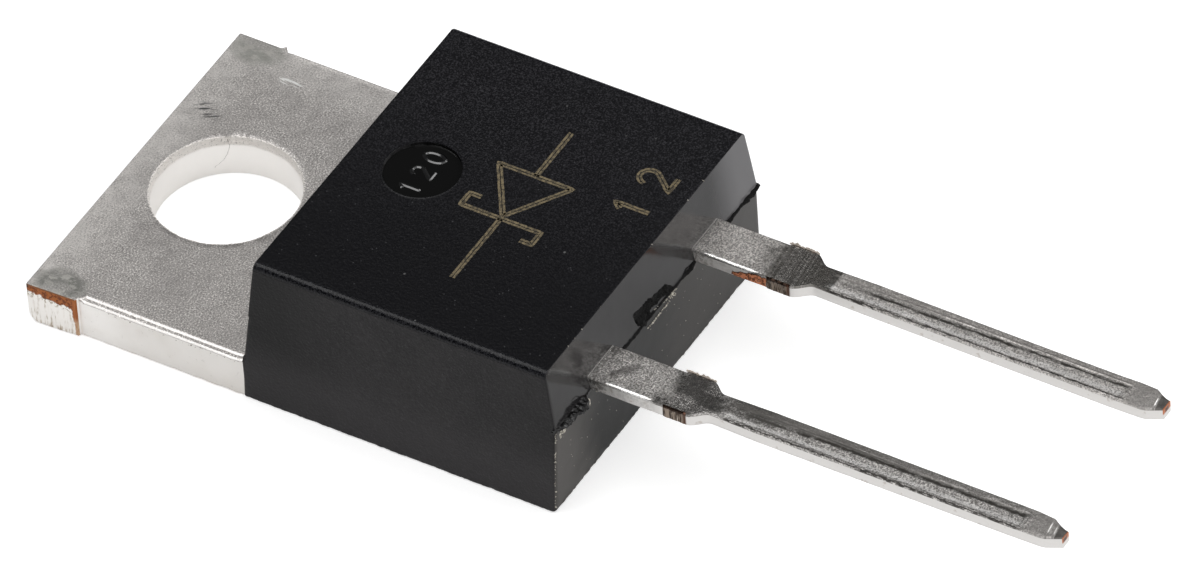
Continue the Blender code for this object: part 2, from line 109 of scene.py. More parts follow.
# Edges of the tab.
TAB_CORNER_RADIUS = 0.04
NEAR_EAR_SPREAD = 0.09
TAB_SIDE_ROLL = 0.05
TAB_SIDE_CLOSING = 0.20
TAB_END_ROLL_LENGTH = 0.37
TAB_END_ROLL_HEIGHT = 0.35

# The tab's long edges, as (distance in from the side, drop): the near one is pressed, the far one raised.
NEAR_EDGE = (
    (0.184, 0.0), (0.179, 0.001), (0.173, 0.004), (0.130, 0.026), (0.123, 0.028), (0.114, 0.0285),
    (0.040, 0.030), (0.031, 0.031), (0.024, 0.034), (-0.022, 0.058), (-0.030, 0.064), (-0.030, 0.078),
)
FAR_EDGE = (
    (0.120, 0.0), (0.110, -0.0004), (0.090, -0.0012), (0.070, -0.0024), (0.050, -0.0036), (0.035, -0.0046),
    (0.022, -0.0050), (0.013, -0.0048), (0.008, -0.0040), (0.004, -0.0028), (0.001, 0.0), (0.0, 0.004),
)

# The leads, outside the body and inside it.
ROOT_HALF = 0.62
STUB_HALF = 0.675
SHANK_HALF = 0.365
LEAD_FOOT = 0.02
LEAD_ROLL = 0.03
NEAR_TIP = ((27.86, 0.365), (28.0, 0.34), (28.40, 0.136))
FAR_TIP = ((27.50, 0.365), (27.95, 0.33), (28.11, 0.235), (28.285, 0.165), (28.40, 0.150))
ROLL_SPANS = {"cathode": (15.84, 17.06), "anode": (15.60, 17.10)}
# How much further each lead reaches than its drawing on its near and far sides, as (distance, extra).
NEAR_EXTRA = {
    "cathode": (
        (15.0, 0.040), (17.38, 0.040), (17.40, 0.0), (18.6, 0.0), (20.0, 0.036), (27.0, 0.015), (27.9, 0.0),
    ),
    "anode": (
        (15.0, 0.025), (17.38, 0.025), (17.40, 0.0), (18.6, 0.0), (20.0, 0.028), (23.0, 0.055), (27.0, 0.082),
        (28.4, 0.060),
    ),
}
FAR_EXTRA = {
    "cathode": ((18.6, 0.0), (20.0, 0.033), (27.0, 0.016), (27.9, 0.0)),
    "anode": ((18.6, 0.0), (20.0, 0.020), (21.0, 0.007), (25.0, -0.026), (27.0, -0.030), (28.0, 0.0)),
}
STUB_START = 17.38
STUB_END = 18.09
SHOULDER_LENGTH = 0.52
CHANNEL_START = 19.05
CHANNEL_END = 27.30
CHANNEL_NEAR = -0.30
CHANNEL_FAR = 0.19
CHANNEL_DEPTH = 0.022
TIP_STEPS = {"cathode": (27.97, 28.125), "anode": (28.125,)}
TIP_STEP_DROP = 0.018
TIP_SLANT = 0.14
TIP_BEVEL_LENGTH = 0.26
TIP_BEVEL_DEPTH = 0.03
NECK_HALF = 1.0
NECK_BEND_RADIUS = 0.35
POST_START = 13.03
POST_LENGTH = 1.40
POST_HALF = 1.65
POST_SHIFT = -0.18

# The camera of the photograph, found by fitting these sizes to points measured in it.
CAMERA_TARGET = (0.6242, 0.9009, 2.0)
CAMERA_AZIMUTH = -56.3431
CAMERA_ELEVATION = 43.8709
CAMERA_ROLL = -4.449
CAMERA_DISTANCE = 406.69
CAMERA_FOCAL_PIXELS = 16385.4
FRAME_WIDTH_PIXELS = 1200
SENSOR_WIDTH = 36.0

# How the room gets darker towards two directions: (direction, first cosine, last cosine, share at each).
ROOM_SHADES = (((0.5, 0.8, 0.3), -0.25, 0.75, 0.95, 0.10), ((-0.9, 0.4, 0.25), 0.60, 0.92, 1.0, 0.10))

# The lamps, and the white floor, which glows a little for some kinds of ray.
SOFTBOX_RADIANCE = 2.5
SOFTBOX_DISTANCE = 1.0
FLOOR_HALF_SIZE = 3.0
FLOOR_COLOUR = 0.72
FLOOR_GLOW = {"Is Camera Ray": 0.50, "Is Glossy Ray": 0.20, "Is Transmission Ray": 0.20}


def along(distance):
    """The Y of a place this far from the tab's end edge."""
    return OVERALL_LENGTH / 2 - distance


def smooth(low, high, value):
    """0 below low, 1 above high, and a smooth rise between them."""
    share = np.clip((np.asarray(value, float) - low) / (high - low), 0.0, 1.0)
    return share * share * (3 - 2 * share)


def between(start, full, fading, gone, value):
    """1 between full and fading, 0 outside start and gone, and smooth changes where they meet."""
    return smooth(start, full, value) * (1 - smooth(fading, gone, value))


def wobble(points, scale, seed, octaves=3):
    """Fractal noise of about -1 to 1 at each point, with features of about scale millimetres."""
    shift = Vector((17.3 * seed, -9.1 * seed, 5.7 * seed))
    flat = np.asarray(points, float).reshape(-1, 3)
    values = [noise.fractal(Vector(p) / scale + shift, 0.8, 2.1, octaves) for p in flat]
    return np.array(values).reshape(np.asarray(points).shape[:-1])


def mesh_object(name, points, faces, material, sharp_degrees):
    """A piece that rides on the frame, from points in millimetres."""
    mesh = bpy.data.meshes.new(name)
    mesh.from_pydata([tuple(p) for p in np.asarray(points, float) * MM], [], faces)
    mesh.update()
    solid = bmesh.new()
    solid.from_mesh(mesh)
    bmesh.ops.recalc_face_normals(solid, faces=solid.faces)
    solid.to_mesh(mesh)
    solid.free()
    mesh.shade_smooth()
    mesh.set_sharp_from_angle(angle=math.radians(sharp_degrees))
    obj = bpy.data.objects.new(name, mesh)
    bpy.context.scene.collection.objects.link(obj)
    mesh.materials.append(material)
    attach(obj, "root")
    return obj


def grid_faces(rows, columns, offset=0, wrap_rows=False, flip=False):
    """Quads between rings of points, stored ring after ring. The last ring may join the first."""
    faces = []
    for i in range(rows if wrap_rows else rows - 1):
        for j in range(columns):
            a = offset + i * columns + j
            b = offset + i * columns + (j + 1) % columns
            c = offset + (i + 1) % rows * columns + (j + 1) % columns
            d = offset + (i + 1) % rows * columns + j
            faces.append((d, c, b, a) if flip else (a, b, c, d))
    return faces


def feed(tree, socket, value):
    """Links a field or a node's output to the socket, or sets the socket to a plain value."""
    if isinstance(value, Field):
        value = value.socket
    if isinstance(value, bpy.types.NodeSocket):
        tree.links.new(value, socket)
    elif socket.type == "RGBA":
        socket.default_value = (*value, 1.0)
    else:
        socket.default_value = value


def add_node(tree, kind, *values, **settings):
    """A new node with these settings, and these values or links on its first inputs."""
    made = tree.nodes.new(kind)
    for key, value in settings.items():
        setattr(made, key, value)
    for socket, value in zip(made.inputs, values):
        feed(tree, socket, value)
    return made


def arithmetic(operation, swapped=False):
    """An operator for fields, which adds a Math node."""

    def operate(field, other=0.0):
        pair = (other, field) if swapped else (field, other)
        made = add_node(field.tree, "ShaderNodeMath", *pair, operation=operation)
        return Field(field.tree, made.outputs[0])

    return operate


class Field:
    """A number that varies over a surface: a node's output, with arithmetic that adds more nodes."""

    __add__ = arithmetic("ADD")
    __sub__ = arithmetic("SUBTRACT")
    __rsub__ = arithmetic("SUBTRACT", swapped=True)
    __mul__ = arithmetic("MULTIPLY")
    __truediv__ = arithmetic("DIVIDE")
    __or__ = arithmetic("MAXIMUM")
    __abs__ = arithmetic("ABSOLUTE")
    root = arithmetic("SQRT")

    def __init__(self, tree, socket):
        self.tree = tree
        self.socket = socket

    def ramp(self, low, high, start=0.0, end=1.0):
        """A smooth change from start to end while the field goes from low to high."""
        ends = (high, low, end, start) if low > high else (low, high, start, end)
        made = add_node(self.tree, "ShaderNodeMapRange", self, *ends, interpolation_type="SMOOTHSTEP")
        return Field(self.tree, made.outputs["Result"])

    def band(self, low, high, soft):
        """1 between low and high, and 0 outside them."""
        return self.ramp(low - soft, low + soft) * self.ramp(high + soft, high - soft)

    def shifted(self, field, amount):
        """This field moved up and down by another of 0 to 1, so that an edge drawn by it is ragged."""
        return self + (field - 0.5) * amount


class Look:
    """A procedural material: its nodes read the object's own place, in millimetres."""

    def __init__(self, name, colour, roughness, metallic=0.0, specular=0.5):
        self.material = bpy.data.materials.new(name)
        self.material.use_nodes = True
        self.tree = self.material.node_tree
        self.shader = self.tree.nodes["Principled BSDF"]
        self.shader.inputs["Metallic"].default_value = metallic
        self.shader.inputs["Specular IOR Level"].default_value = specular
        place = add_node(self.tree, "ShaderNodeTexCoord").outputs["Object"]
        scaled = add_node(self.tree, "ShaderNodeVectorMath", place, operation="SCALE")
        scaled.inputs["Scale"].default_value = 1 / MM
        self.place = scaled.outputs[0]
        axes = add_node(self.tree, "ShaderNodeSeparateXYZ", self.place).outputs
        self.x, self.y, self.z = (Field(self.tree, axis) for axis in axes)
        self.colour = colour
        self.roughness = roughness
        self.height = None

    def placed(self, scales, offset, turn=0.0):
        """The place turned about Z, stretched and moved, for a texture to read."""
        place = self.place
        if turn:
            turned = add_node(self.tree, "ShaderNodeVectorRotate", place, rotation_type="Z_AXIS")
            turned.inputs["Angle"].default_value = turn
            place = turned.outputs[0]
        moved = add_node(self.tree, "ShaderNodeVectorMath", place, scales, offset, operation="MULTIPLY_ADD")
        return moved.outputs[0]

    def grain(self, size, detail=3.0, stretch=(1.0, 1.0, 1.0), rough=0.55, seed=0.0, turn=0.0):
        """Noise of 0 to 1 with features of about this many millimetres, turned about Z."""
        scales = tuple(1 / (size * s) for s in stretch)
        place = self.placed(scales, (seed * 3.1, seed * 7.7, seed * 1.3), turn)
        made = add_node(self.tree, "ShaderNodeTexNoise", place)
        for name, value in (("Scale", 1.0), ("Detail", detail), ("Roughness", rough)):
            made.inputs[name].default_value = value
        return Field(self.tree, made.outputs["Fac"])

    def specks(self, size, share, seed=0.0):
        """1 on scattered round specks, 0 between them."""
        place = self.placed((1 / size,) * 3, (seed * 5.3, seed * 2.9, seed * 8.1))
        made = add_node(self.tree, "ShaderNodeTexVoronoi", place)
        made.inputs["Scale"].default_value = 1.0
        parts = add_node(self.tree, "ShaderNodeSeparateColor", made.outputs["Color"])
        chosen = Field(self.tree, parts.outputs[0]).ramp(share * 1.1, share * 0.9)
        return chosen * Field(self.tree, made.outputs["Distance"]).ramp(0.34, 0.18)

    def distance(self, spot, stretch=(1.0, 1.0)):
        """How far a place is from a spot, seen from above."""
        dx = (self.x - spot[0]) / stretch[0]
        dy = (self.y - spot[1]) / stretch[1]
        return (dx * dx + dy * dy).root()

    def mixed(self, kind, first, mask, old, new):
        """A Mix node of this kind, whose two values start at the input numbered first."""
        made = add_node(self.tree, "ShaderNodeMix", mask, data_type=kind)
        feed(self.tree, made.inputs[first], old)
        feed(self.tree, made.inputs[first + 1], new)
        return made

    def tint(self, mask, colour):
        """Lays a colour over the one so far, where the mask is 1."""
        self.colour = self.mixed("RGBA", 6, mask, self.colour, colour).outputs[2]

    def rub(self, mask, roughness):
        """Lays a roughness over the one so far, where the mask is 1."""
        self.roughness = self.mixed("FLOAT", 2, mask, self.roughness, roughness).outputs[0]

    def raise_by(self, field, amount):
        """Adds a field of 0 to 1, this many millimetres high, to the relief."""
        relief = field * amount
        self.height = relief if self.height is None else self.height + relief

    def done(self):
        """Links the colour, the roughness and the relief to the shader."""
        feed(self.tree, self.shader.inputs["Base Color"], self.colour)
        feed(self.tree, self.shader.inputs["Roughness"], self.roughness)
        if self.height is not None:
            bump = add_node(self.tree, "ShaderNodeBump")
            bump.inputs["Strength"].default_value = 1.0
            bump.inputs["Distance"].default_value = MM
            feed(self.tree, bump.inputs["Height"], self.height)
            feed(self.tree, self.shader.inputs["Normal"], bump.outputs[0])
        return self.material


def tin_for_tab():
    look = Look("matte_tin_on_the_tab", (0.49, 0.465, 0.448), 0.44, metallic=1.0)
    s = OVERALL_LENGTH / 2 - look.y
    x, z = look.x, look.z
    fine = look.grain(0.045, detail=2.0, rough=0.8)
    patches = look.grain(0.35, detail=3.0, seed=5)
    broad = look.grain(1.6, detail=3.0, seed=2)
    smear = look.grain(0.5, detail=4.0, stretch=(1.0, 1.6, 1.0), seed=6)
    in_hole = look.distance((0.0, along(HOLE_FROM_END))).ramp(HOLE_RADIUS + 0.06, HOLE_RADIUS + 0.03)
    outside = 1.0 - in_hole
    inward = TAB_WIDTH / 2 - abs(x)
    pressed = outside * z.ramp(TAB_THICKNESS - 0.085, TAB_THICKNESS - 0.075) * s.ramp(1.45, 1.5)
    up = z.ramp(TAB_THICKNESS - 0.012, TAB_THICKNESS - 0.004) | pressed
    near_end = s.ramp(1.6, 0.0)
    look.tint(up * fine.ramp(0.5, 0.62), (0.95, 0.92, 0.89))
    look.tint(up * fine.ramp(0.45, 0.34), (0.25, 0.235, 0.225))
    look.tint(up * broad.ramp(0.6, 0.38, 0.0, 0.3), (0.36, 0.34, 0.33))
    pale = near_end | look.x.ramp(3.3, 4.9, 0.0, 0.7)
    pale = pale * fine.ramp(0.36, 0.54, 0.5, 1.0)
    look.tint(up * pale * smear.ramp(0.32, 0.56, 0.35, 0.9), (0.82, 0.79, 0.76))
    # Scuffs beside the hole: a feathered dark one and a white scratch.
    scuffed = look.distance((2.15, along(0.75)), (0.5, 0.5)).ramp(1.0, 0.6)
    feather = look.grain(0.07, detail=3.0, stretch=(1.0, 6.0, 1.0), seed=12, turn=math.radians(-28))
    look.tint(up * scuffed * feather.ramp(0.54, 0.66), (0.13, 0.13, 0.125))
    scraped = look.distance((4.1, along(2.1)), (0.12, 0.42)).ramp(1.0, 0.7)
    scrape = look.grain(0.06, detail=3.0, stretch=(1.0, 9.0, 1.0), seed=15, turn=math.radians(9))
    look.tint(up * scraped * scrape.ramp(0.5, 0.58), (0.97, 0.97, 0.95))
    # The smudged corners by the ears, with pale wisps in them.
    wisps = look.grain(0.2, detail=4.0, stretch=(1.0, 1.8, 1.0), rough=0.7, seed=16)
    wisps = wisps.ramp(0.49, 0.6, 0.0, 0.85)
    for centre_x, centre_s, shade in ((-4.78, 0.8, 0.25), (4.74, 0.74, 0.38)):
        away = look.distance((centre_x, along(centre_s)), (0.56, 0.82))
        cloud = up * away.shifted(smear, 1.0).ramp(1.12, 0.6)
        look.tint(cloud * smear.ramp(0.34, 0.56, 0.3, 0.9), (shade, shade, shade * 0.92))
        look.tint(cloud * wisps, (0.58, 0.565, 0.53))
    # Copper shows where the ears were sheared off the strip.
    low = 1.0 - up
    ear = low * abs(x).ramp(TAB_WIDTH / 2 + 0.035, TAB_WIDTH / 2 + 0.045)
    edge = z.shifted(look.grain(0.22, detail=4.0, seed=8), 0.34)
    band = edge - s.ramp(0.1, 1.2, 1.035, 0.9)
    right = s.shifted(patches, 0.16) - z.ramp(0.0, 1.1, 0.085, 0.0)
    copper = band.ramp(-0.02, 0.02) | right.ramp(1.25, 1.29)
    rust = look.grain(0.1, detail=4.0, rough=0.7, seed=13)
    streaks = look.grain(0.12, detail=4.0, stretch=(1.0, 0.7, 5.0), rough=0.65, seed=9)
    stained = look.grain(0.4, detail=3.0, seed=17).ramp(0.42, 0.62)
    look.tint(ear, (0.93, 0.905, 0.87))
    look.tint(ear * streaks.ramp(0.5, 0.68, 0.0, 0.7) * stained, (0.34, 0.27, 0.19))
    look.tint(ear * streaks.ramp(0.5, 0.74, 0.0, 0.4), (0.52, 0.44, 0.34))
    blots = band.ramp(-0.2, -0.06) * rust.ramp(0.5, 0.62)
    look.tint(ear * blots, (0.3, 0.24, 0.16))
    foot = z.shifted(rust, 0.25).ramp(0.22, 0.08) * streaks.ramp(0.44, 0.58)
    look.tint(ear * foot * 0.5, (0.38, 0.27, 0.17))
    look.tint(ear * copper, (0.36, 0.125, 0.045))
    inner = copper * rust.ramp(0.44, 0.56) * z.ramp(1.235, 1.21) * s.ramp(1.36, 1.3)
    look.tint(ear * inner, (0.16, 0.052, 0.024))
    faint = copper * z.shifted(rust, 0.5).ramp(0.66, 0.42) * rust.ramp(0.38, 0.56, 0.4, 0.9)
    look.tint(ear * faint, (0.6, 0.44, 0.3))
    look.tint(ear * s.ramp(0.1, 0.04) * z.ramp(1.12, 1.2), (0.03, 0.02, 0.015))
    rim = abs(x).ramp(TAB_WIDTH / 2 + 0.022, TAB_WIDTH / 2 + 0.03) * s.ramp(1.43, 1.38)
    look.tint(rim * z.band(TAB_THICKNESS - 0.024, TAB_THICKNESS - 0.0014, 0.0008), (0.16, 0.085, 0.05))
    # Faint stains along the sides, and the speckled band that the punch tore in the hole.
    side = low - ear
    look.tint(side, (0.81, 0.785, 0.755))
    look.tint(side * outside * s.ramp(3.6, 1.6), (0.93, 0.91, 0.885))
    look.tint(side * broad.ramp(0.45, 0.75, 0.0, 0.35), (0.66, 0.62, 0.57))
    marks = look.grain(0.2, detail=5.0, rough=0.7, seed=14).ramp(0.6, 0.74, 0.0, 0.5)
    look.tint(side * marks, (0.5, 0.48, 0.455))
    look.tint(side * in_hole, (0.945, 0.92, 0.89))
    torn = in_hole * z.shifted(patches, 0.12).ramp(0.93, 1.03)
    look.tint(torn * fine.ramp(0.36, 0.56), (0.92, 0.89, 0.86))
    look.tint(torn * fine.ramp(0.44, 0.32), (0.55, 0.53, 0.5))
    dust = side * outside * z.shifted(rust, 0.08).ramp(0.06, 0.01)
    look.tint(dust * patches.ramp(0.4, 0.55), (0.5, 0.39, 0.3))
    look.rub(up * patches.ramp(0.35, 0.65), 0.5)
    look.rub(low, 0.36)
    # The pressed edges are shinier, and have dark pits below them.
    slopes = inward.band(0.127, 0.179, 0.006) | inward.ramp(0.034, 0.024)
    broken = rust.ramp(0.36, 0.46) | s.ramp(2.6, 4.2)
    slopes = pressed * slopes * x.ramp(0.0, -0.1) * broken
    look.tint(slopes * fine.ramp(0.4, 0.52, 0.75, 1.0), (0.52, 0.505, 0.49))
    look.rub(slopes, 0.31)
    pits = side * outside * z.band(1.08, 1.17, 0.02) * rust.ramp(0.58, 0.64)
    look.tint(pits * s.ramp(1.5, 1.6), (0.17, 0.13, 0.1))
    look.rub(torn, 0.75)
    look.raise_by((up | torn) * fine, 0.006)
    look.raise_by(low * look.grain(0.5, detail=2.0, seed=3), 0.02)
    return look.done()


def tin_for_lead(name, centre):
    look = Look("tin_on_the_" + name + "_lead", (0.46, 0.44, 0.425), 0.42, metallic=1.0)
    s = OVERALL_LENGTH / 2 - look.y
    across = look.x - centre
    far = name == "anode"
    dark = (0.315, 0.297, 0.279) if far else (0.2, 0.19, 0.178)
    fine = look.grain(0.05, detail=2.0, rough=0.8, seed=centre)
    mottle = look.grain(0.11, detail=4.0, rough=0.75, seed=centre + 1)
    patches = look.grain(0.45, detail=3.0, seed=centre + 2)
    up = look.z.ramp(LEAD_TOP - 0.09, LEAD_TOP - 0.07)
    body_end = s.ramp(17.2, 15.6) if not far else 0.2
    pale = (0.9, 0.86, 0.825) if far else (0.93, 0.9, 0.87)
    look.tint(up * fine.ramp(0.45 if far else 0.49, 0.6), pale)
    look.tint(up * fine.ramp(0.46, 0.36), dark)
    look.tint(up * mottle.ramp(0.5, 0.34, 0.0, 0.3 if far else 0.8), dark)
    look.tint(up * patches.ramp(0.56, 0.36, 0.0, 0.9) * body_end, (0.14, 0.132, 0.125))
    # The zone that the trimming tool burnished, brushed across the lead.
    ragged = s.shifted(patches, 1.2).shifted(mottle, 1.3)
    begin = STUB_START - (0.15 if far else 0.1)
    soft = 0.03 if far else 0.25
    stop = s.shifted(mottle, soft * 3).ramp(CHANNEL_START + 0.03, CHANNEL_START + 0.03 - soft * 2)
    spread = (0.45, 0.35) if far else (0.25, 0.25)
    burnish = up * ragged.ramp(begin - spread[0], begin + spread[1]) * stop
    brushed = look.grain(0.042, detail=2.0, stretch=(60.0, 1.0, 60.0), seed=centre + 3, turn=math.radians(-5))
    cover = brushed.ramp(0.6, 0.46, 0.55 if far else 0.8, 0.98)
    middle = abs(across + 0.02).shifted(mottle, 0.3)
    heart = 1.0 if far else middle.ramp(0.3, 0.16, 0.4, 1.0) | s.ramp(18.35, 18.0)
    cover = cover | s.ramp(18.15, 18.5, 0.0, 0.95)
    worn = look.distance((centre - 0.35, along(17.75)), (0.3, 0.45)).shifted(mottle, 1.6).ramp(0.6, 1.1)
    brushed_tin = (0.213, 0.203, 0.187) if far else (0.155, 0.15, 0.142)
    look.tint(burnish * cover * heart * (1.0 if far else worn), brushed_tin)
    exit_line = up * s.shifted(mottle, 0.02).band(15.272, 15.312, 0.006)
    look.tint(exit_line, (0.9, 0.87, 0.83))
    look.rub(exit_line, 0.2)
    look.rub(burnish, 0.27)
    # The channel down the shank: a dark smear on its far side and painted shade on its far wall, with painted
    # light and shade by the near edge.
    shank = s.band(CHANNEL_START - 0.1, CHANNEL_END, 0.15)
    streak = look.grain(0.1, detail=4.0, stretch=(0.6, 2.2, 1.0), seed=centre + 4)
    lane = across.shifted(streak, 0.16)
    outer = up * s.ramp(18.7, 19.4) * lane.ramp(0.1 if far else 0.06, 0.16 if far else 0.12)
    look.tint(outer * (0.45 if far else s.ramp(21.0, 27.0, 0.85, 0.55)), dark)
    # Painted shade: the channel's far wall is darkened and made matte.
    wall = up * shank * across.band(0.16, 0.205, 0.012) * (0.7 if far else s.ramp(22.0, 25.0, 0.96, 0.35))
    look.tint(wall, (0.15, 0.143, 0.136))
    look.rub(wall, 0.75)
    first, last = (-0.03, 0.055) if far else (0.03, 0.13)
    strip = lane - (s.ramp(22.0, 25.0, 0.0, 0.04) if far else s.ramp(20.2, 21.8, -0.06, 0.0))
    smear = up * shank * strip.band(first, last, 0.03) * patches.ramp(0.34, 0.48, 0.6, 1.0)
    faded = s.ramp(19.5, 20.3, 0.5, 1.0) if far else s.shifted(mottle, 0.3).ramp(19.25, 19.55)
    look.tint(smear * faded, (0.075, 0.07, 0.064))
    fringe = strip.band(last, last + 0.06, 0.03)
    look.tint(up * shank * fringe * 0.35, (0.12, 0.115, 0.105))
    # Painted shade: a dark band along the near edge, for the dark that its rounding shows.
    line = up * shank * lane.band(-0.39, -0.35, 0.01) * mottle.ramp(0.34, 0.42)
    look.tint(line, (0.075, 0.07, 0.065))
    # Painted highlight: a bright lane inside the near edge, for the light on its rounding.
    bright = up * shank * lane.band(-0.31, -0.15, 0.03) * fine.ramp(0.36, 0.5, 0.15, 0.8)
    look.tint(bright, (0.9, 0.88, 0.86))
    if not far:
        dull = s.ramp(20.7, 19.8) * across.shifted(mottle, 0.3).ramp(-0.22, -0.08)
        look.tint(up * dull * s.ramp(18.6, 19.0) * fine.ramp(0.42, 0.58, 0.95, 0.6), (0.125, 0.119, 0.111))
    # The tip: softer grain, two painted glints across its steps, painted darker around them, and painted
    # shade down the slope to the cut.
    tip = up * s.ramp(CHANNEL_END, CHANNEL_END + 0.3)
    look.tint(tip * 0.65, (0.4, 0.38, 0.365))
    slant = s + across * TIP_SLANT
    # Painted shade on the slope from the last step down to the cut.
    painted_shade_slope = slant.ramp(TIP_STEPS[name][-1] + 0.02, TIP_STEPS[name][-1] + 0.06)
    look.tint(up * painted_shade_slope * patches.ramp(0.3, 0.6, 1.0, 0.8), (0.1, 0.095, 0.088))
    lit = ((-0.2, 0.03, 0.8),) if far else ((-0.15, 0.17, 0.7), (-0.12, 0.1, 0.4))
    for step, (first, last, strength) in zip(TIP_STEPS[name], lit):
        # Painted shade over each step, then a painted highlight over part of it.
        glint = up * slant.band(step - 0.02, step + 0.02, 0.006)
        look.tint(glint, (0.24, 0.23, 0.22))
        look.rub(glint, 0.5)
        glint = glint * across.shifted(mottle, 0.1).band(first, last, 0.05) * strength
        look.tint(glint, (0.8, 0.79, 0.77))
        look.rub(glint, 0.3)
    # The sides are paler, and darker in mottled patches where they leave the body.
    low = 1.0 - up
    look.tint(low, (0.77, 0.75, 0.73))
    near_body_darkening = s.shifted(mottle, 0.5).ramp(16.1, 15.4, 0.0, 0.85) | 0.2
    near_body_tone = (0.36, 0.325, 0.295) if far else (0.17, 0.16, 0.15)
    look.tint(low * s.ramp(17.3, 17.0) * near_body_darkening * mottle.ramp(0.54, 0.44, 0.1, 1.0), near_body_tone)
    # Painted highlight along the rounded near edge of the root, over the rounding's own.
    roll = look.z.ramp(LEAD_TOP - 0.085, LEAD_TOP - 0.065) * s.band(*ROLL_SPANS[name], 0.12)
    roll = roll * across.ramp(-ROOT_HALF + 0.055, -ROOT_HALF + 0.04)
    look.tint(roll, (0.64, 0.63, 0.615) if far else (0.76, 0.75, 0.73))
    look.rub(roll, 0.24)
    # Bare copper on the sheared sides of the stub, and at the cut tip.
    side = abs(across).ramp(STUB_HALF - 0.05, STUB_HALF - 0.035)
    strips = look.grain(0.08, detail=3.0, stretch=(1.0, 0.7, 6.0), seed=centre + 5)
    sheared = side * s.band(STUB_START + 0.03, STUB_END - 0.02, 0.03)
    look.tint(sheared, (0.29, 0.235, 0.19))
    look.tint(sheared * strips.ramp(0.44, 0.56), (0.06, 0.042, 0.032))
    look.tint(sheared * strips.ramp(0.6, 0.66), (0.58, 0.51, 0.44))
    torn_rim = look.z.shifted(strips, 0.14).ramp(LEAD_TOP - 0.09, LEAD_TOP - 0.07)
    look.tint(sheared * torn_rim, (0.035, 0.022, 0.016))
    look.tint(sheared * s.ramp(STUB_END - 0.15, STUB_END - 0.05), (0.09, 0.045, 0.03))
    if far:
        near_side = across.ramp(-0.6, -0.615)
        top = look.z.shifted(look.grain(0.16, detail=4.0, rough=0.7, seed=18), 0.22)
        top = top - s.ramp(16.35, 17.1, 0.0, 0.17)
        reach = s.shifted(mottle, 0.35).band(16.42, STUB_START, 0.03)
        rim = near_side * reach * top.ramp(2.895, 2.875)
        bare = near_side * reach.ramp(0.5, 1.0) * top.ramp(2.862, 2.842)
        look.tint(rim, (0.045, 0.025, 0.018))
        look.tint(bare, (0.78, 0.33, 0.175))
        look.tint(bare * mottle.ramp(0.47, 0.56), (0.2, 0.075, 0.042))
    cut = s.ramp(OVERALL_LENGTH - 0.03, OVERALL_LENGTH - 0.015)
    look.tint(cut * look.z.ramp(2.86, 2.93), (0.5, 0.17, 0.07))
    core = across.band(-0.115, 0.05, 0.03) * look.z.band(2.9, 3.03, 0.02)
    look.tint(cut * core, (0.1, 0.045, 0.03))
    stains = look.grain(0.25, detail=3.0, seed=centre + 6).ramp(0.6, 0.72, 0.0, 0.5)
    look.tint(low * stains, (0.44, 0.38, 0.33))
    look.rub(low, 0.34)
    look.rub(low * s.ramp(17.4, 17.3), 0.6 if far else 0.42)
    look.raise_by(up * mottle, 0.01)
    look.raise_by(up * fine, 0.004)
    return look.done()


def moulded_epoxy():
    look = Look("moulded_epoxy", (0.0014, 0.0014, 0.0024), 0.36, specular=0.21)
    side = look.z.ramp(BODY_HEIGHT - LONG_EDGE_RADIUS, BODY_HEIGHT - LONG_EDGE_RADIUS - 0.02)
    edge = look.z.ramp(BODY_HEIGHT - LONG_EDGE_RADIUS - 0.02, BODY_HEIGHT - LONG_EDGE_RADIUS)
    edge = edge * abs(look.x - 0.06).ramp(4.66, 4.72)
    in_mark = look.distance((PIN_MARK_X, along(PIN_MARK_FROM_END))).ramp(1.03, 1.02)
    mark = look.z.ramp(BODY_HEIGHT - 0.002, BODY_HEIGHT - 0.008) * in_mark
    peel = look.grain(0.075, detail=2.0, seed=4)
    sand = look.grain(0.045, detail=2.0, rough=0.8, seed=5)
    # Painted light: the sand specks grow paler towards +x, away from the near corner.
    lit = look.x.ramp(-4.3, 4.0, 0.1, 1.0)
    look.tint(lit * sand.ramp(0.48, 0.64), (0.028, 0.0275, 0.031))
    look.tint(look.specks(0.07, 0.02), (0.045, 0.045, 0.048))
    look.tint(look.specks(0.13, 0.003, seed=2), (0.09, 0.09, 0.09))
    look.tint(mark, (0.004, 0.004, 0.004))
    look.tint(edge * sand.ramp(0.44, 0.6), (0.02, 0.02, 0.023))
    hazy = look.grain(1.8, detail=2.0, seed=7)
    look.tint(side, (0.0115, 0.0105, 0.0115))
    look.tint(side * hazy.ramp(0.4, 0.6), (0.0175, 0.016, 0.017))
    look.tint(side * sand.ramp(0.5, 0.64), (0.024, 0.0225, 0.024))
    dimples = look.grain(0.15, detail=3.0, rough=0.7, seed=9)
    look.tint(side * dimples.ramp(0.46, 0.34, 0.0, 0.55), (0.0075, 0.007, 0.008))
    look.tint(side * dimples.ramp(0.55, 0.68, 0.0, 0.5), (0.034, 0.0315, 0.034))
    # Painted shade towards both ends of the sides, and painted light towards their feet.
    shaded = look.y.ramp(4.6, 7.4, 0.0, 0.9) | look.y.ramp(0.8, -1.2, 0.0, 0.35)
    look.tint(side * shaded, (0.003, 0.0028, 0.0032))
    look.tint(side * look.z.ramp(2.4, 0.8, 0.0, 0.5), (0.042, 0.039, 0.0415))
    look.rub(side, 0.46)
    look.rub(edge, 0.2)
    look.rub(mark, 0.08)
    rough = 1.0 - mark
    look.raise_by(peel * rough, 0.011)
    look.raise_by(sand * rough, 0.004)
    look.raise_by(side * dimples, 0.01)
    return look.done()


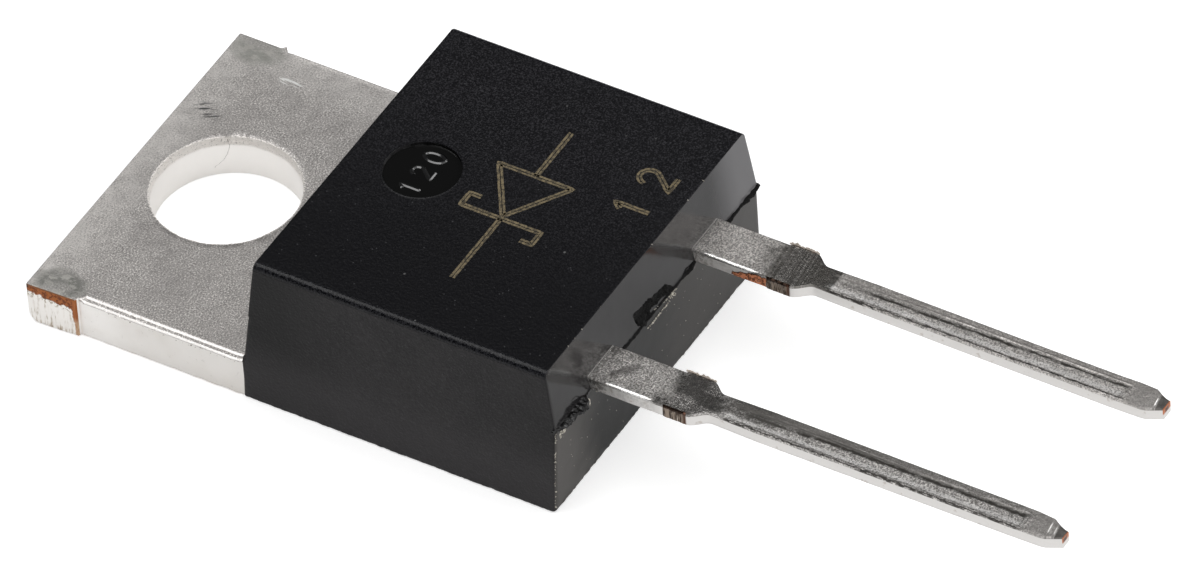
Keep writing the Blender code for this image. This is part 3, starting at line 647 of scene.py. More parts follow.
def polished_epoxy():
    look = Look("polished_epoxy", (0.004, 0.004, 0.0042), 0.12, specular=0.36)
    haze = look.grain(1.3, detail=3.0, seed=6)
    look.tint(haze.ramp(0.4, 0.6, 0.7, 1.0), (0.014, 0.0132, 0.0142))
    # Painted light: the upper end face is much paler towards its far corner.
    look.tint(look.x.ramp(2.9, 4.4), (0.12, 0.117, 0.122))
    look.rub(haze.ramp(0.35, 0.7), 0.17)
    look.raise_by(look.grain(0.8, detail=2.0, seed=7), 0.004)
    return look.done()


def hazy_epoxy():
    look = Look("hazy_epoxy", (0.006, 0.006, 0.006), 0.28, specular=0.15)
    haze = look.grain(1.1, detail=3.0, seed=6)
    # Painted light: the lower end face is paler in ragged areas towards its far half and its near end.
    place = look.x.shifted(haze, 1.2)
    look.tint(place.ramp(-0.9, 2.0), (0.0425, 0.0393, 0.0372))
    look.tint(place.ramp(-2.5, -4.3), (0.072, 0.067, 0.063))
    look.tint(look.specks(0.1, 0.012, seed=4), (0.14, 0.13, 0.12))
    look.raise_by(look.grain(0.05, detail=2.0, seed=7), 0.002)
    return look.done()


def raised_epoxy():
    look = Look("raised_epoxy", (0.002, 0.002, 0.0024), 0.13, specular=0.68)
    look.shader.inputs["IOR"].default_value = 1.7
    worn = look.grain(0.12, detail=3.0, seed=8)
    look.rub(worn.ramp(0.5, 0.6), 0.2)
    look.raise_by(worn, 0.003)
    return look.done()


def black_flash():
    look = Look("torn_epoxy", (0.003, 0.003, 0.003), 0.8, specular=0.2)
    torn = look.grain(0.06, detail=4.0, rough=0.7)
    look.tint(torn.ramp(0.6, 0.75), (0.016, 0.0155, 0.015))
    look.rub(torn.ramp(0.5, 0.7), 0.4)
    look.raise_by(torn, 0.04)
    return look.done()


def glossy_flash():
    look = Look("glossy_flash", (0.002, 0.002, 0.0022), 0.13, specular=0.34)
    swirls = look.grain(0.17, detail=2.0, stretch=(1.0, 2.0, 1.0), seed=3)
    look.rub(swirls.ramp(0.45, 0.6), 0.35)
    look.raise_by(swirls, 0.09)
    return look.done()


def pale_filler():
    look = Look("pale_filler", (0.62, 0.585, 0.51), 0.6)
    shades = look.grain(0.05, detail=2.0)
    look.tint(shades.ramp(0.47, 0.6), (0.17, 0.155, 0.13))
    return look.done()


def laser_mark():
    look = Look("laser_mark", (0.17, 0.135, 0.078), 0.6, specular=0.3)
    worn = look.grain(0.07, detail=4.0, rough=0.75)
    wide = look.grain(0.25, detail=2.0, seed=3)
    look.tint(worn.ramp(0.55, 0.42), (0.05, 0.042, 0.028))
    look.tint(wide.ramp(0.4, 0.3, 0.0, 0.6), (0.03, 0.026, 0.02))
    look.tint(worn.ramp(0.66, 0.74), (0.34, 0.29, 0.2))
    return look.done()


def inner_metal(name, colour, roughness, metallic, size):
    look = Look(name, colour, roughness, metallic=metallic)
    shades = look.grain(size, detail=3.0)
    look.tint(shades.ramp(0.35, 0.65), tuple(c * 0.75 for c in colour))
    look.rub(shades.ramp(0.4, 0.7), roughness + 0.1)
    look.raise_by(shades, 0.004)
    return look.done()


def segment(first, second, count):
    """Points from the first towards the second, without the second itself."""
    shares = np.arange(count)[:, None] / count
    return np.asarray(first, float) + (np.asarray(second, float) - np.asarray(first, float)) * shares


def plan_loop(vertices, counts):
    """A closed outline of (x, distance) through its vertices, with this many points from each to the next."""
    following = vertices[1:] + vertices[:1]
    return np.concatenate([segment(a, b, n) for a, b, n in zip(vertices, following, counts)])


def rounding(radius, below):
    """How far a round edge of this radius has come in, at this depth below its top."""
    return radius - math.sqrt(max(0.0, radius**2 - max(0.0, radius - below) ** 2))


def body_edges(height):
    """The body at this height: how far it reaches to its near and far sides, and where it starts and ends."""
    below = BODY_HEIGHT - height
    foot_round = max(0.0, FOOT_RADIUS - (height - BODY_STANDOFF))
    side_round = rounding(LONG_EDGE_RADIUS, below) + foot_round
    end_round = rounding(END_EDGE_RADIUS, below) + foot_round
    near = NEAR_HALF_WIDTH - height * NEAR_SIDE_DRAFT - side_round
    far = FAR_HALF_WIDTH - height * SIDE_DRAFT - side_round
    start = BODY_START + end_round
    if height > TAB_THICKNESS:
        start += TAB_END_LEDGE + (height - TAB_THICKNESS) * END_DRAFT
    return near, far, start, end_face(height) - end_round


def end_face(height):
    """Where the body's lead end lies at this height."""
    draft = END_DRAFT if height > PARTING_HEIGHT else LOWER_END_DRAFT
    return BODY_END - abs(height - PARTING_HEIGHT) * draft


def body_ring(height, inset=0.0):
    """The body's outline at this height, and the outward direction at each of its points."""
    near, far, start, finish = body_edges(height)
    radius = max((BODY_CORNER_RADIUS if height > PARTING_HEIGHT else LOWER_CORNER_RADIUS) - inset, 0.005)
    margin = inset + radius
    low, high = (margin - near, start + margin), (far - margin, finish - margin)
    centres = np.array([low, (low[0], high[1]), high, (high[0], low[1])])
    points, outward = [], []
    for index, count in enumerate(BODY_SIDE_STEPS):
        turns = np.radians(np.linspace(270, 180, CORNER_STEPS + 1) - 90 * index)
        directions = np.column_stack([np.cos(turns), np.sin(turns)])
        corner = centres[index] + radius * directions
        following = centres[(index + 1) % 4] + radius * directions[-1]
        points += [corner[:-1], segment(corner[-1], following, count)]
        outward += [directions[:-1], np.tile(directions[-1], (count, 1))]
    return np.concatenate(points), np.concatenate(outward)


def body_levels():
    """The heights of the body's rings, closest where its surface turns or is broken."""
    foot = [0.0, 0.006, 0.015, 0.03, 0.06, 0.10, 0.16]
    levels = [BODY_STANDOFF + h for h in foot]
    levels += list(np.linspace(0.30, 1.20, 8)) + [TAB_THICKNESS, TAB_THICKNESS + 0.0005]
    levels += list(np.linspace(1.34, 2.58, 12))
    levels += [PARTING_HEIGHT + h for h in (-0.10, -0.06, -0.035, -0.015, 0.0, 0.015, 0.035, 0.06, 0.10)]
    levels += list(np.linspace(2.92, 4.30, 13))
    turns = np.linspace(0.0, math.pi / 2, 8)
    levels += [BODY_HEIGHT - LONG_EDGE_RADIUS * (1 - math.sin(a)) for a in turns[:-1]]
    levels += [BODY_HEIGHT - h for h in (0.012, 0.006, 0.002, 0.0)]
    return sorted(set(levels))


def body_walls():
    """Rings up the moulding's sides, with a ridge at the parting line, a chipped corner and a ragged foot."""
    rows = []
    for height in body_levels():
        ring, outward = body_ring(height)
        points = level(ring, height)
        on_lead_end = smooth(0.5, 1.0, outward[:, 1])
        parting = max(0.0, 1 - abs(height - PARTING_HEIGHT) / 0.045)
        low = 1 - smooth(0.03, 0.16, height)
        near_corner = np.exp(-(((ring[:, 0] + NEAR_HALF_WIDTH - 0.05) / 0.09) ** 2)) * on_lead_end
        chipped = near_corner * (0.2 if height > PARTING_HEIGHT else 1.0)
        rough = wobble(points, 0.22, 3)
        fine = wobble(points, 0.07, 4)
        push = parting * on_lead_end * (0.02 + 0.02 * rough)
        push += low * (0.018 * rough + 0.014 * fine)
        push -= chipped * 0.035 * np.maximum(0.0, fine + 0.2)
        push += 0.003 * wobble(points, 0.9, 5)
        points[:, :2] += outward * push[:, None]
        if height < BODY_STANDOFF + 0.02:
            points[:, 2] += 0.016 * np.maximum(0.0, rough)
        rows.append(points)
    return rows


def body_top():
    """Rings over the moulding's flat top, and down into its pin mark."""
    plan, _ = body_ring(BODY_HEIGHT, inset=0.05)
    centre = np.array([PIN_MARK_X, PIN_MARK_FROM_END])
    spokes = unit(plan - centre)
    rim = level(plan, BODY_HEIGHT)
    lip = level(centre + spokes * (PIN_MARK_RADIUS + 0.06), BODY_HEIGHT)
    rows = [rim + (lip - rim) * share for share in (0.0, 0.08, 0.2, 0.35, 0.5, 0.65, 0.8, 0.92)]
    rounded = ((0.06, 0.0), (0.034, 0.0), (0.018, 0.010), (0.009, 0.009), (0.0, -0.006))
    sunk = ((-0.002, 0.010), (-0.005, 0.002), (-0.012, 0.0), (-0.10, 0.0), (-0.5, 0.0), (-0.9, 0.0))
    for grow, rise in rounded + tuple((grow, rise - PIN_MARK_DEPTH) for grow, rise in sunk):
        ring = level(centre + spokes * (PIN_MARK_RADIUS + grow), BODY_HEIGHT + rise)
        if -0.003 < grow < 0.04:
            ring[:, :2] += spokes * (0.006 * wobble(ring, 0.08, 6))[:, None]
        rows.append(ring)
    return rows


def make_body(material, end_material, lower_end_material):
    """The moulding: a flat back, rings up its sides and a flat top that runs in to the pin mark."""
    walls = body_walls()
    middle = np.array([0.0, (BODY_START + BODY_END) / 2])
    back = [level(middle + (walls[0][:, :2] - middle) * share, BODY_STANDOFF) for share in (0.2, 0.6, 0.98)]
    points, faces = shell(back + walls + body_top(), flip=True)
    body = mesh_object("moulded_body_finish", points, faces, material, sharp_degrees=40)
    body.data.materials.append(end_material)
    body.data.materials.append(lower_end_material)
    for polygon in body.data.polygons:
        if abs(polygon.normal.y) > 0.75:
            polygon.material_index = 1 if polygon.center.z > PARTING_HEIGHT * MM else 2
    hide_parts("moulded_body")


def tab_vertices():
    """Corners of the tab and paddle from above, as (x, distance, inset along x, inset along the package)."""
    side = TAB_WIDTH / 2
    ear = side + EAR_STEP
    r = TAB_CORNER_RADIUS
    half = []
    for i in range(CORNER_STEPS + 1):
        turn = math.pi / 2 * i / CORNER_STEPS
        half.append((ear - r * (1 - math.sin(turn)), r * (1 - math.cos(turn)), -1.0, 1.0))
    half += [
        (ear, EAR_LENGTH, -1.0, 0.0),
        (side, EAR_LENGTH + EAR_RUNOUT, -1.0, 0.0),
        (side, TAB_LENGTH - TAB_SIDE_CLOSING, -1.0, 0.0),
        (SHOULDER_HALF + 0.02, TAB_LENGTH + 0.05, -1.0, 0.0),
        (PADDLE_HALF_WIDTH, TAB_LENGTH + 0.05, -1.0, 0.0),
        (PADDLE_HALF_WIDTH, PADDLE_END, -1.0, -1.0),
    ]
    counts = [1] * CORNER_STEPS + [44, 2, 60, 6, 3, 12, 14]
    mirrored = [(-x, s, -dx, ds) for x, s, dx, ds in reversed(half)]
    return half + mirrored, counts[:-1] + [14] + counts[:-1][::-1] + [150]


class TabPlan:
    """The tab from above: its outline, what each point of it belongs to, and the hole inside it."""

    def __init__(self):
        vertices, counts = tab_vertices()
        loop = plan_loop(vertices, counts)
        self.outline = loop[:, :2]
        self.inward = loop[:, 2:]
        x, s = np.abs(self.outline[:, 0]), self.outline[:, 1]
        side = TAB_WIDTH / 2
        self.on_ear = smooth(side + 0.02, side + 0.05, x)
        outside = smooth(SHOULDER_HALF, SHOULDER_HALF + 0.015, x)
        self.on_side = (1 - self.on_ear) * outside
        self.on_paddle = (1 - outside) * smooth(TAB_LENGTH - 0.05, TAB_LENGTH - 0.01, s)
        self.spokes = unit(self.outline - np.array([0.0, HOLE_FROM_END]))

    def inset(self, sideways, lengthwise=None):
        """The outline moved in by these amounts, which are the same unless both are given."""
        lengthwise = sideways if lengthwise is None else lengthwise
        amounts = [np.broadcast_to(a, (len(self.outline),)) for a in (sideways, lengthwise)]
        return self.outline + self.inward * np.column_stack(amounts)

    def circle(self, radius):
        """A circle round the hole's centre, with a point towards each point of the outline."""
        return np.array([0.0, HOLE_FROM_END]) + self.spokes * radius


def level(plan, height):
    """Points of a plan at a height, which may differ from point to point."""
    return np.column_stack([plan, np.broadcast_to(np.asarray(height, float), (len(plan),))])


def unit(vectors):
    """The vectors, each brought to a length of 1."""
    return vectors / np.linalg.norm(vectors, axis=1)[:, None]


def tab_points():
    """Rows of the tab's surface: up the hole's wall, out over the top, down the sides and back below."""
    plan = TabPlan()
    top = TAB_THICKNESS
    x, s = plan.outline[:, 0], plan.outline[:, 1]
    far_ear = np.exp(-(((s - EAR_LENGTH + 0.09) / 0.05) ** 2)) * (x > 5.0)
    x += 0.10 * far_ear
    near_ear = plan.on_ear * (x < 0) * (1 - 0.6 * np.clip(s / EAR_LENGTH, 0, 1))
    x -= NEAR_EAR_SPREAD * near_ear
    rows = []
    wall = [(0.02, 0.0), (0.005, 0.012), (0.0, 0.04)]
    wall += [(0.0, h) for h in (0.25, 0.5, 0.75, 0.93, 0.97)]
    wall += [(0.003, 1.01), (0.005, 1.05), (0.007, 1.09), (0.008, 1.13), (0.009, 1.17), (0.010, 1.205)]
    wall += [(0.012, 1.240), (0.016, 1.256)]
    for grow, height in wall:
        ring = level(plan.circle(HOLE_RADIUS + grow), height)
        torn = smooth(0.95, 1.10, height)
        ring[:, :2] += plan.spokes * (torn * 0.018 * wobble(ring, 0.09, 11))[:, None]
        ring[:, :2] += plan.spokes * (torn * 0.012 * wobble(ring, 0.4, 12))[:, None]
        rows.append(ring)
    lip = level(plan.circle(HOLE_RADIUS + 0.024), top)
    rows.append(lip)
    pressed = plan.on_side * smooth(EAR_LENGTH + 0.10, EAR_LENGTH + 0.20, s)
    rim = level(plan.outline, top)
    ragged = 0.008 * wobble(rim, 0.12, 13) + 0.008 * wobble(rim, 0.5, 16)
    far_side = x > 0
    edge_rows = []
    for index, (near, far) in enumerate(zip(NEAR_EDGE, FAR_EDGE)):
        share = index / (len(NEAR_EDGE) - 1)
        reach, drop = (np.where(far_side, far[i], near[i]) for i in (0, 1))
        reach = pressed * (reach + ragged * (1 - share)) + (1 - pressed) * 0.03 * (1 - share)
        drop = pressed * drop + (1 - pressed) * 0.02 * (1 - math.sqrt(1 - share * share))
        edge_rows.append(level(plan.inset(reach), top - drop))
        if index == 0:
            inner = plan.inset(reach + 0.05)
    for t in (0.05, 0.11, 0.18, 0.26, 0.35, 0.45, 0.55, 0.66, 0.78, 0.9, 1.0):
        rows.append(level(lip[:, :2] + (inner - lip[:, :2]) * t, top))
    rows += edge_rows
    edge = edge_rows[-1][:, 2]
    for drop in (0.025, 0.05, 0.09):
        rows.append(side_row(plan, edge - drop))
    for height in (0.95, 0.8, 0.65, 0.5, 0.455, 0.445, 0.36, 0.29, 0.22, 0.15, 0.10, 0.06, 0.03, 0.01, 0.0):
        rows.append(side_row(plan, np.minimum(height, edge - 0.12)))
    foot = rows[-1][:, :2]
    hole = plan.circle(HOLE_RADIUS + 0.05)
    for t in (0.03, 0.15, 0.35, 0.55, 0.75, 0.9, 1.0):
        rows.append(level(foot + (hole - foot) * t, 0.0))
    return rows


def rolled(height, length, tall):
    """How far a rounded foot of this length and height has come in at each height."""
    share = np.clip(1 - height / tall, 0, 1)
    return length * (1 - np.sqrt(1 - share * share))


def side_row(plan, height):
    """The tab's outline at a height on its sides, with its rolled foot and the torn faces of its ears."""
    height = np.broadcast_to(np.asarray(height, float), (len(plan.outline),))
    undercut = UNDERCUT_INSET * plan.on_paddle * (height < UNDERCUT_HEIGHT)
    sideways = rolled(height, TAB_SIDE_ROLL, TAB_SIDE_ROLL)
    at_end = plan.outline[:, 1] < HOLE_FROM_END
    lengthwise = np.where(at_end, rolled(height, TAB_END_ROLL_LENGTH, TAB_END_ROLL_HEIGHT), sideways)
    ring = level(plan.inset(sideways + undercut, lengthwise + undercut), height)
    streaks = wobble(ring * np.array([1.0, 1.0, 0.18]), 0.06, 14)
    lumps = wobble(ring, 0.3, 15)
    torn = plan.on_ear * (0.008 * streaks + 0.012 * lumps)
    torn -= plan.on_side * 0.022 * np.maximum(0.0, lumps + 0.1) * (1 - smooth(0.0, 0.12, height))
    ring[:, 0] += np.sign(ring[:, 0]) * torn
    return ring


def lead_sides(name, distance):
    """How far the lead reaches from its centre line to its near and far sides, at this distance."""
    knots = [(BODY_END - 0.6, ROOT_HALF), (STUB_START, ROOT_HALF), (STUB_START + 0.04, STUB_HALF)]
    knots += [(STUB_END, STUB_HALF)]
    for i in range(1, 9):
        share = i / 8
        half = STUB_HALF + (SHANK_HALF - STUB_HALF) * smooth(0, 1, share)
        knots.append((STUB_END + SHOULDER_LENGTH * share, half))
    sides = []
    for tip, extra in ((NEAR_TIP, NEAR_EXTRA[name]), (FAR_TIP, FAR_EXTRA[name])):
        places, reaches = zip(*(knots + list(tip)))
        sides.append(np.interp(distance, places, reaches) + np.interp(distance, *zip(*extra)))
    return sides


def outer_stations():
    """Distances of the bare lead's sections, closest at its stub, shoulder and tip."""
    parts = [
        np.arange(BODY_END - 0.4, STUB_START - 0.02, 0.09),
        np.arange(STUB_START - 0.01, STUB_END + SHOULDER_LENGTH, 0.03),
        np.arange(STUB_END + SHOULDER_LENGTH + 0.02, CHANNEL_END + 0.1, 0.07),
        np.arange(CHANNEL_END + 0.15, 27.87, 0.05),
        np.arange(27.90, 28.20, 0.007),
        np.arange(28.22, OVERALL_LENGTH - 0.03, 0.04),
        [OVERALL_LENGTH - 0.02, OVERALL_LENGTH - 0.005],
    ]
    return np.concatenate(parts)


TOP_SHARES = (
    -0.97, -0.93, -0.88, -0.84, -0.80, -0.76, -0.72, -0.67, -0.6, -0.5, -0.36, -0.2, -0.05, 0.1, 0.24, 0.34,
    0.42, 0.46, 0.49, 0.52, 0.55, 0.58, 0.62, 0.72, 0.82, 0.9, 0.94, 0.97,
)


def tip_steps(steps, distance):
    """How far the cut-off tool's steps have lowered the top at this distance."""
    return TIP_STEP_DROP * sum(smooth(step - 0.014, step + 0.014, distance) for step in steps)


def lead_section(centre, distance, half, middle, lean=0.0, bare=1.0, seed=0.0, steps=(), span=(0.0, 0.0)):
    """One closed section of a lead, from its near lower edge over the top to its far lower edge."""
    bottom = middle - LEAD_THICKNESS / 2
    foot = bottom + LEAD_FOOT
    top = middle + LEAD_THICKNESS / 2
    opened = between(CHANNEL_START, CHANNEL_START + 0.06, CHANNEL_END - 0.08, CHANNEL_END, distance)
    near_wall = CHANNEL_NEAR + 0.022 * wobble((centre - 0.3, distance, seed), 0.12, 21)
    far_wall = CHANNEL_FAR + 0.014 * wobble((centre + 0.3, distance, seed), 0.12, 21)
    bevel = max(0.0, distance - (OVERALL_LENGTH - TIP_BEVEL_LENGTH)) / TIP_BEVEL_LENGTH * TIP_BEVEL_DEPTH
    on_roll = between(span[0] - 0.15, span[0] + 0.2, span[1] - 0.15, span[1] + 0.1, distance)
    near_roll = 0.02 + 0.033 * on_roll
    near_height = top - near_roll * (1 - 0.45 * on_roll) - bevel - tip_steps(steps, distance)
    far_height = top - LEAD_ROLL - bevel - tip_steps(steps, distance)
    points = [(-half, foot + (near_height - foot) * share) for share in (0.0, 0.25, 0.5, 0.75, 1.0)]
    for x in half * np.array(TOP_SHARES):
        in_channel = between(near_wall - 0.02, near_wall + 0.02, far_wall - 0.011, far_wall + 0.011, x)
        drop = bare * CHANNEL_DEPTH * opened * in_channel
        for gap, roll in ((half + x, near_roll), (half - x, LEAD_ROLL)):
            drop += rounding(roll, gap)
        points.append((x, top - drop - bevel - tip_steps(steps, distance + TIP_SLANT * x)))
    points += [(half, foot + (far_height - foot) * share) for share in (1.0, 0.75, 0.5, 0.25, 0.0)]
    points += [(half * share, bottom) for share in (0.96, 0.6, 0.2, -0.2, -0.6, -0.96)]
    forward, upward = -math.sin(lean), math.cos(lean)
    lifts = [(x, z - middle) for x, z in points]
    return [(centre + x, distance + lift * forward, middle + lift * upward) for x, lift in lifts]


def lead_rows(name):
    """The sections of a lead from its inner end to its tip, with the torn faces of its stub."""
    centre = LEAD_CENTRES[name]
    post_end = POST_START + POST_LENGTH
    post = [(POST_START, POST_HALF, POST_SHIFT), (post_end, POST_HALF, POST_SHIFT)]
    post.append((post_end + 0.35, ROOT_HALF, 0.0))
    if name == "cathode":
        sealed = [(centre, s, half, height, climb) for s, height, climb, half in neck_stations()]
    else:
        sealed = [(centre + shift, s, half, LEAD_MIDDLE) for s, half, shift in post]
    rows = [lead_section(*section, bare=0.0) for section in sealed]
    stations = outer_stations()
    shape = dict(seed=centre, steps=TIP_STEPS[name], span=ROLL_SPANS[name])
    for distance in stations:
        near, far = lead_sides(name, distance)
        rows.append(lead_section(centre + (far - near) / 2, distance, (near + far) / 2, LEAD_MIDDLE, **shape))
    rows = np.array(rows)
    outer = rows[-len(stations):]
    x, s = outer[:, :, 0] - centre, outer[:, :, 1]
    on_side = smooth(0.93, 0.995, np.abs(x) / np.abs(x).max(1)[:, None])
    torn = between(STUB_START, STUB_START + 0.03, STUB_END - 0.03, STUB_END, s)
    streaks = wobble(outer * np.array([1.0, 1.0, 0.15]), 0.07, 22)
    waves = wobble(outer, 0.5, 23)
    outer[:, :, 0] += np.sign(x) * on_side * (torn * 0.016 * streaks + 0.004 * waves)
    outer[:, :, 2] += 0.003 * wobble(outer, 0.16, 24)
    return rows


def neck_stations():
    """The cathode's neck inside the body: out of the paddle and up to the leads, with round bends."""
    low = TAB_THICKNESS - LEAD_THICKNESS / 2
    corners = [(PADDLE_END - 0.5, low), (PADDLE_END + 0.25, low), (PADDLE_END + 1.35, LEAD_MIDDLE)]
    corners.append((PADDLE_END + 1.70, LEAD_MIDDLE))
    path = [Vector(c) for c in corners]
    climbs = [math.atan2(b.y - a.y, b.x - a.x) for a, b in zip(path, path[1:])]
    stations = [(path[0].x, path[0].y, climbs[0], NECK_HALF)]
    for corner, before, after in zip(path[1:-1], climbs, climbs[1:]):
        reach = NECK_BEND_RADIUS * math.tan(abs(after - before) / 2)
        start = corner - reach * Vector((math.cos(before), math.sin(before)))
        side = math.copysign(1, after - before)
        pivot = start + NECK_BEND_RADIUS * side * Vector((-math.sin(before), math.cos(before)))
        for i in range(6):
            climb = before + (after - before) * i / 5
            spot = pivot + NECK_BEND_RADIUS * side * Vector((math.sin(climb), -math.cos(climb)))
            stations.append((spot.x, spot.y, climb, NECK_HALF))
    stations.append((path[-1].x, path[-1].y, 0.0, NECK_HALF))
    stations.append((path[-1].x + 0.40, path[-1].y, 0.0, ROOT_HALF))
    return stations


def shell(rows, offset=0, flip=False):
    """Points and faces of a lofted solid with flat ends."""
    rows = np.asarray(rows)
    count, columns = rows.shape[:2]
    points = rows.reshape(-1, 3).copy()
    points[:, 1] = along(points[:, 1])
    faces = grid_faces(count, columns, offset, flip=flip)
    faces.append(tuple(offset + j for j in reversed(range(columns))))
    faces.append(tuple(offset + (count - 1) * columns + j for j in range(columns)))
    return points, faces


def make_leadframe(tab_material, near_material, far_material):
    """The tab with the near lead, and the far lead."""
    rows = tab_points()
    points = np.concatenate(rows)
    points[:, 1] = along(points[:, 1])
    faces = grid_faces(len(rows), len(rows[0]), wrap_rows=True, flip=True)
    lead_points, lead_faces = shell(lead_rows("cathode"), len(points))
    whole = (np.concatenate([points, lead_points]), faces + lead_faces)
    frame_piece = mesh_object("tab_and_cathode_lead_finish", *whole, tab_material, sharp_degrees=40)
    frame_piece.data.materials.append(near_material)
    for polygon in frame_piece.data.polygons[len(faces):]:
        polygon.material_index = 1
    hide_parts("cathode_tab_and_lead")
    lead = mesh_object("anode_lead_finish", *shell(lead_rows("anode")), far_material, sharp_degrees=40)
    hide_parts("anode_lead")


def joined(parts):
    """Points and faces of several shells, as one."""
    points, faces = [], []
    for part_points, part_faces in parts:
        offset = sum(len(p) for p in points)
        points.append(part_points)
        faces += [tuple(offset + i for i in face) for face in part_faces]
    return np.concatenate(points), faces


def fin_strip(start, finish):
    """A stretch of the flash along the parting line, from one X to another."""
    rows = []
    for x in np.arange(start, finish, 0.03):
        reach = np.interp(x, *zip(*FIN_REACH))
        torn = wobble((x, 0.0, 0.0), 0.16, 31)
        curl = wobble((x, 0.0, 5.0), 0.35, 31)
        lump = wobble((x, 0.0, 9.0), 0.13, 31)
        big = min(1.0, reach / 0.22)
        reach = max(0.012, reach * (1 + 0.30 * torn))
        half = 0.036 + 0.012 * big**2 + 0.014 * lump
        section = [(share, half * tall) for share, tall in FIN_SECTION]
        section += [(share, -up) for share, up in section[-2::-1]]
        ring = []
        for share, up in section:
            out = share * reach if share > 0 else share
            wave = 0.045 * big * wobble((x, out * 2, up), 0.14, 32) if out > 0 else 0
            droop = big * (0.05 * curl - 0.05) * max(0.0, share)
            ring.append((x, BODY_END + out, PARTING_HEIGHT + up + droop + wave))
        rows.append(ring)
    return shell(rows)


def make_fin(material, thick_material):
    """The flash along the parting line, thin on the far side and thick on the near side."""
    thin = [fin_strip(-1.90, 1.90), fin_strip(3.18, 5.04)]
    thick = [fin_strip(-4.98, -3.18)]
    for name, parts, look in (("parting_line_flash", thin, material), ("thick_flash", thick, thick_material)):
        fin = mesh_object(name, *joined(parts), look, sharp_degrees=60)


def make_gate(material):
    """The rough stub where the moulding was broken from its runner."""
    rows = []
    for x in np.arange(-0.94, 0.83, 0.025):
        top = np.interp(x, (-0.96, 0.58, 0.82), (3.30, 3.06, 2.80)) + 0.035 * wobble((x, 0, 3), 0.12, 41)
        low = np.interp(x, (-0.96, -0.84, -0.50, -0.36, 0.82), (3.22, 2.84, 2.55, 2.93, 2.76))
        low += 0.03 * wobble((x, 0, 8), 0.10, 44)
        ring = []
        for share in np.linspace(0.0, 1.0, 15):
            z = low + (top - low) * share
            face = BODY_END - max(0.0, z - PARTING_HEIGHT) * END_DRAFT
            bulge = math.sin(math.pi * min(1.0, share * 1.25 + 0.02)) if share < 0.8 else 0.0
            crag = wobble((x, z, 0.0), 0.16, 42)
            fine = wobble((x, z, 0.0), 0.06, 43)
            lumps = 0.05 * max(0.0, bulge) + 0.08 * crag + 0.05 * fine
            out = 0.012 + (lumps if 0 < share < 1 else 0.0)
            ring.append((x, face + max(0.004, out), z))
        ring.append((x, BODY_END - 0.5 * (top - PARTING_HEIGHT) * END_DRAFT - 0.12, top - 0.02))
        ring.append((x, BODY_END - 0.10, low + 0.02))
        rows.append(ring)
    gate = mesh_object("gate_stub", *shell(rows), material, sharp_degrees=35)


def make_grains(material):
    """Pale grains of filler and flakes of flash that cling to the lead end and its near edge, and pale chips
    by the gate that also stand in as painted highlights.
    """
    draw = np.random.default_rng(7)
    spots = []
    for _ in range(36):
        z = 0.15 + 2.5 * draw.random() ** 0.8
        x = -NEAR_HALF_WIDTH + z * NEAR_SIDE_DRAFT + 0.03 + 0.02 * draw.normal()
        spots.append((x, end_face(z) - 0.01, z, 0.006 + 0.018 * draw.random()))
    for _ in range(18):
        x = -4.72 + 0.10 * draw.normal()
        s = BODY_END + 0.10 + 0.05 * draw.random()
        z = 2.64 + 0.04 * draw.normal()
        spots.append((x, s, z, 0.012 + 0.018 * draw.random()))
    for t in np.linspace(0.0, 1.0, 12):
        z = 2.70 + 0.05 * math.sin(3 * t)
        spots.append((-3.52 - 0.16 * t * t, BODY_END + 0.12 + 0.15 * t, z, 0.014 + 0.008 * draw.random()))
    spots.append((-3.16, BODY_END + 0.16, 2.70, 0.035))
    # Pale chips along the gate's broken lip, which also stand in as painted highlights for the glints of its
    # edges.
    for start, finish in (((-0.453, 2.418), (0.927, 2.455)), ((-0.078, 2.770), (0.868, 2.541))):
        for t in np.arange(0.0, 1.0, 0.022):
            if draw.random() < 0.75:
                x = start[0] + (finish[0] - start[0]) * t
                z = start[1] + (finish[1] - start[1]) * t + 0.012 * draw.normal()
                spots.append((x, end_face(z) + 0.008, z, 0.012 + 0.014 * draw.random()))
    # More pale chips by the gate's lower right, also painted highlights on its edges.
    for _ in range(26):
        x, z = draw.uniform(0.6, 1.0), draw.uniform(2.45, 2.75)
        spots.append((x, end_face(z) + 0.004, z, 0.010 + 0.012 * draw.random()))
    for _ in range(70):
        x, z = draw.uniform(-4.8, 4.8), draw.uniform(0.2, 2.6)
        spots.append((x, end_face(z), z, 0.007 + 0.008 * draw.random()))
    for _ in range(8):
        x = draw.uniform(-4.6, 4.6)
        spots.append((x, end_face(BODY_HEIGHT) - 0.01, BODY_HEIGHT - 0.01, 0.008 + 0.014 * draw.random()))
    solid = bmesh.new()
    bmesh.ops.create_icosphere(solid, subdivisions=1, radius=1.0)
    ball = np.array([v.co[:] for v in solid.verts])
    ball_faces = [tuple(v.index for v in f.verts) for f in solid.faces]
    solid.free()
    parts = []
    for x, s, z, r in spots:
        lumpy = ball * (1 + 0.25 * draw.normal(size=(len(ball), 1))) * draw.uniform(0.6, 1.4, 3)
        parts.append((np.array([x, along(s), z]) + lumpy * r, ball_faces))
    grains = mesh_object("filler_grains", *joined(parts), material, sharp_degrees=30)


def crosswise(path):
    """The direction across a path of (x, y), at each of its points."""
    ahead = unit(np.gradient(np.asarray(path, float), axis=0))
    return np.column_stack([-ahead[:, 1], ahead[:, 0]])


# Sections of the marks' strips and of raised strokes, as (share of the reach, share of the rise).
RIBBON_PROFILE = ((1.0, 0.0), (0.95, 1.0), (0.5, 1.0), (-0.5, 1.0), (-0.95, 1.0), (-1.0, 0.0))
BEAD_PROFILE = ((1.0, 0.0), (0.28, 1.0), (-0.28, 1.0), (-1.0, 0.0))


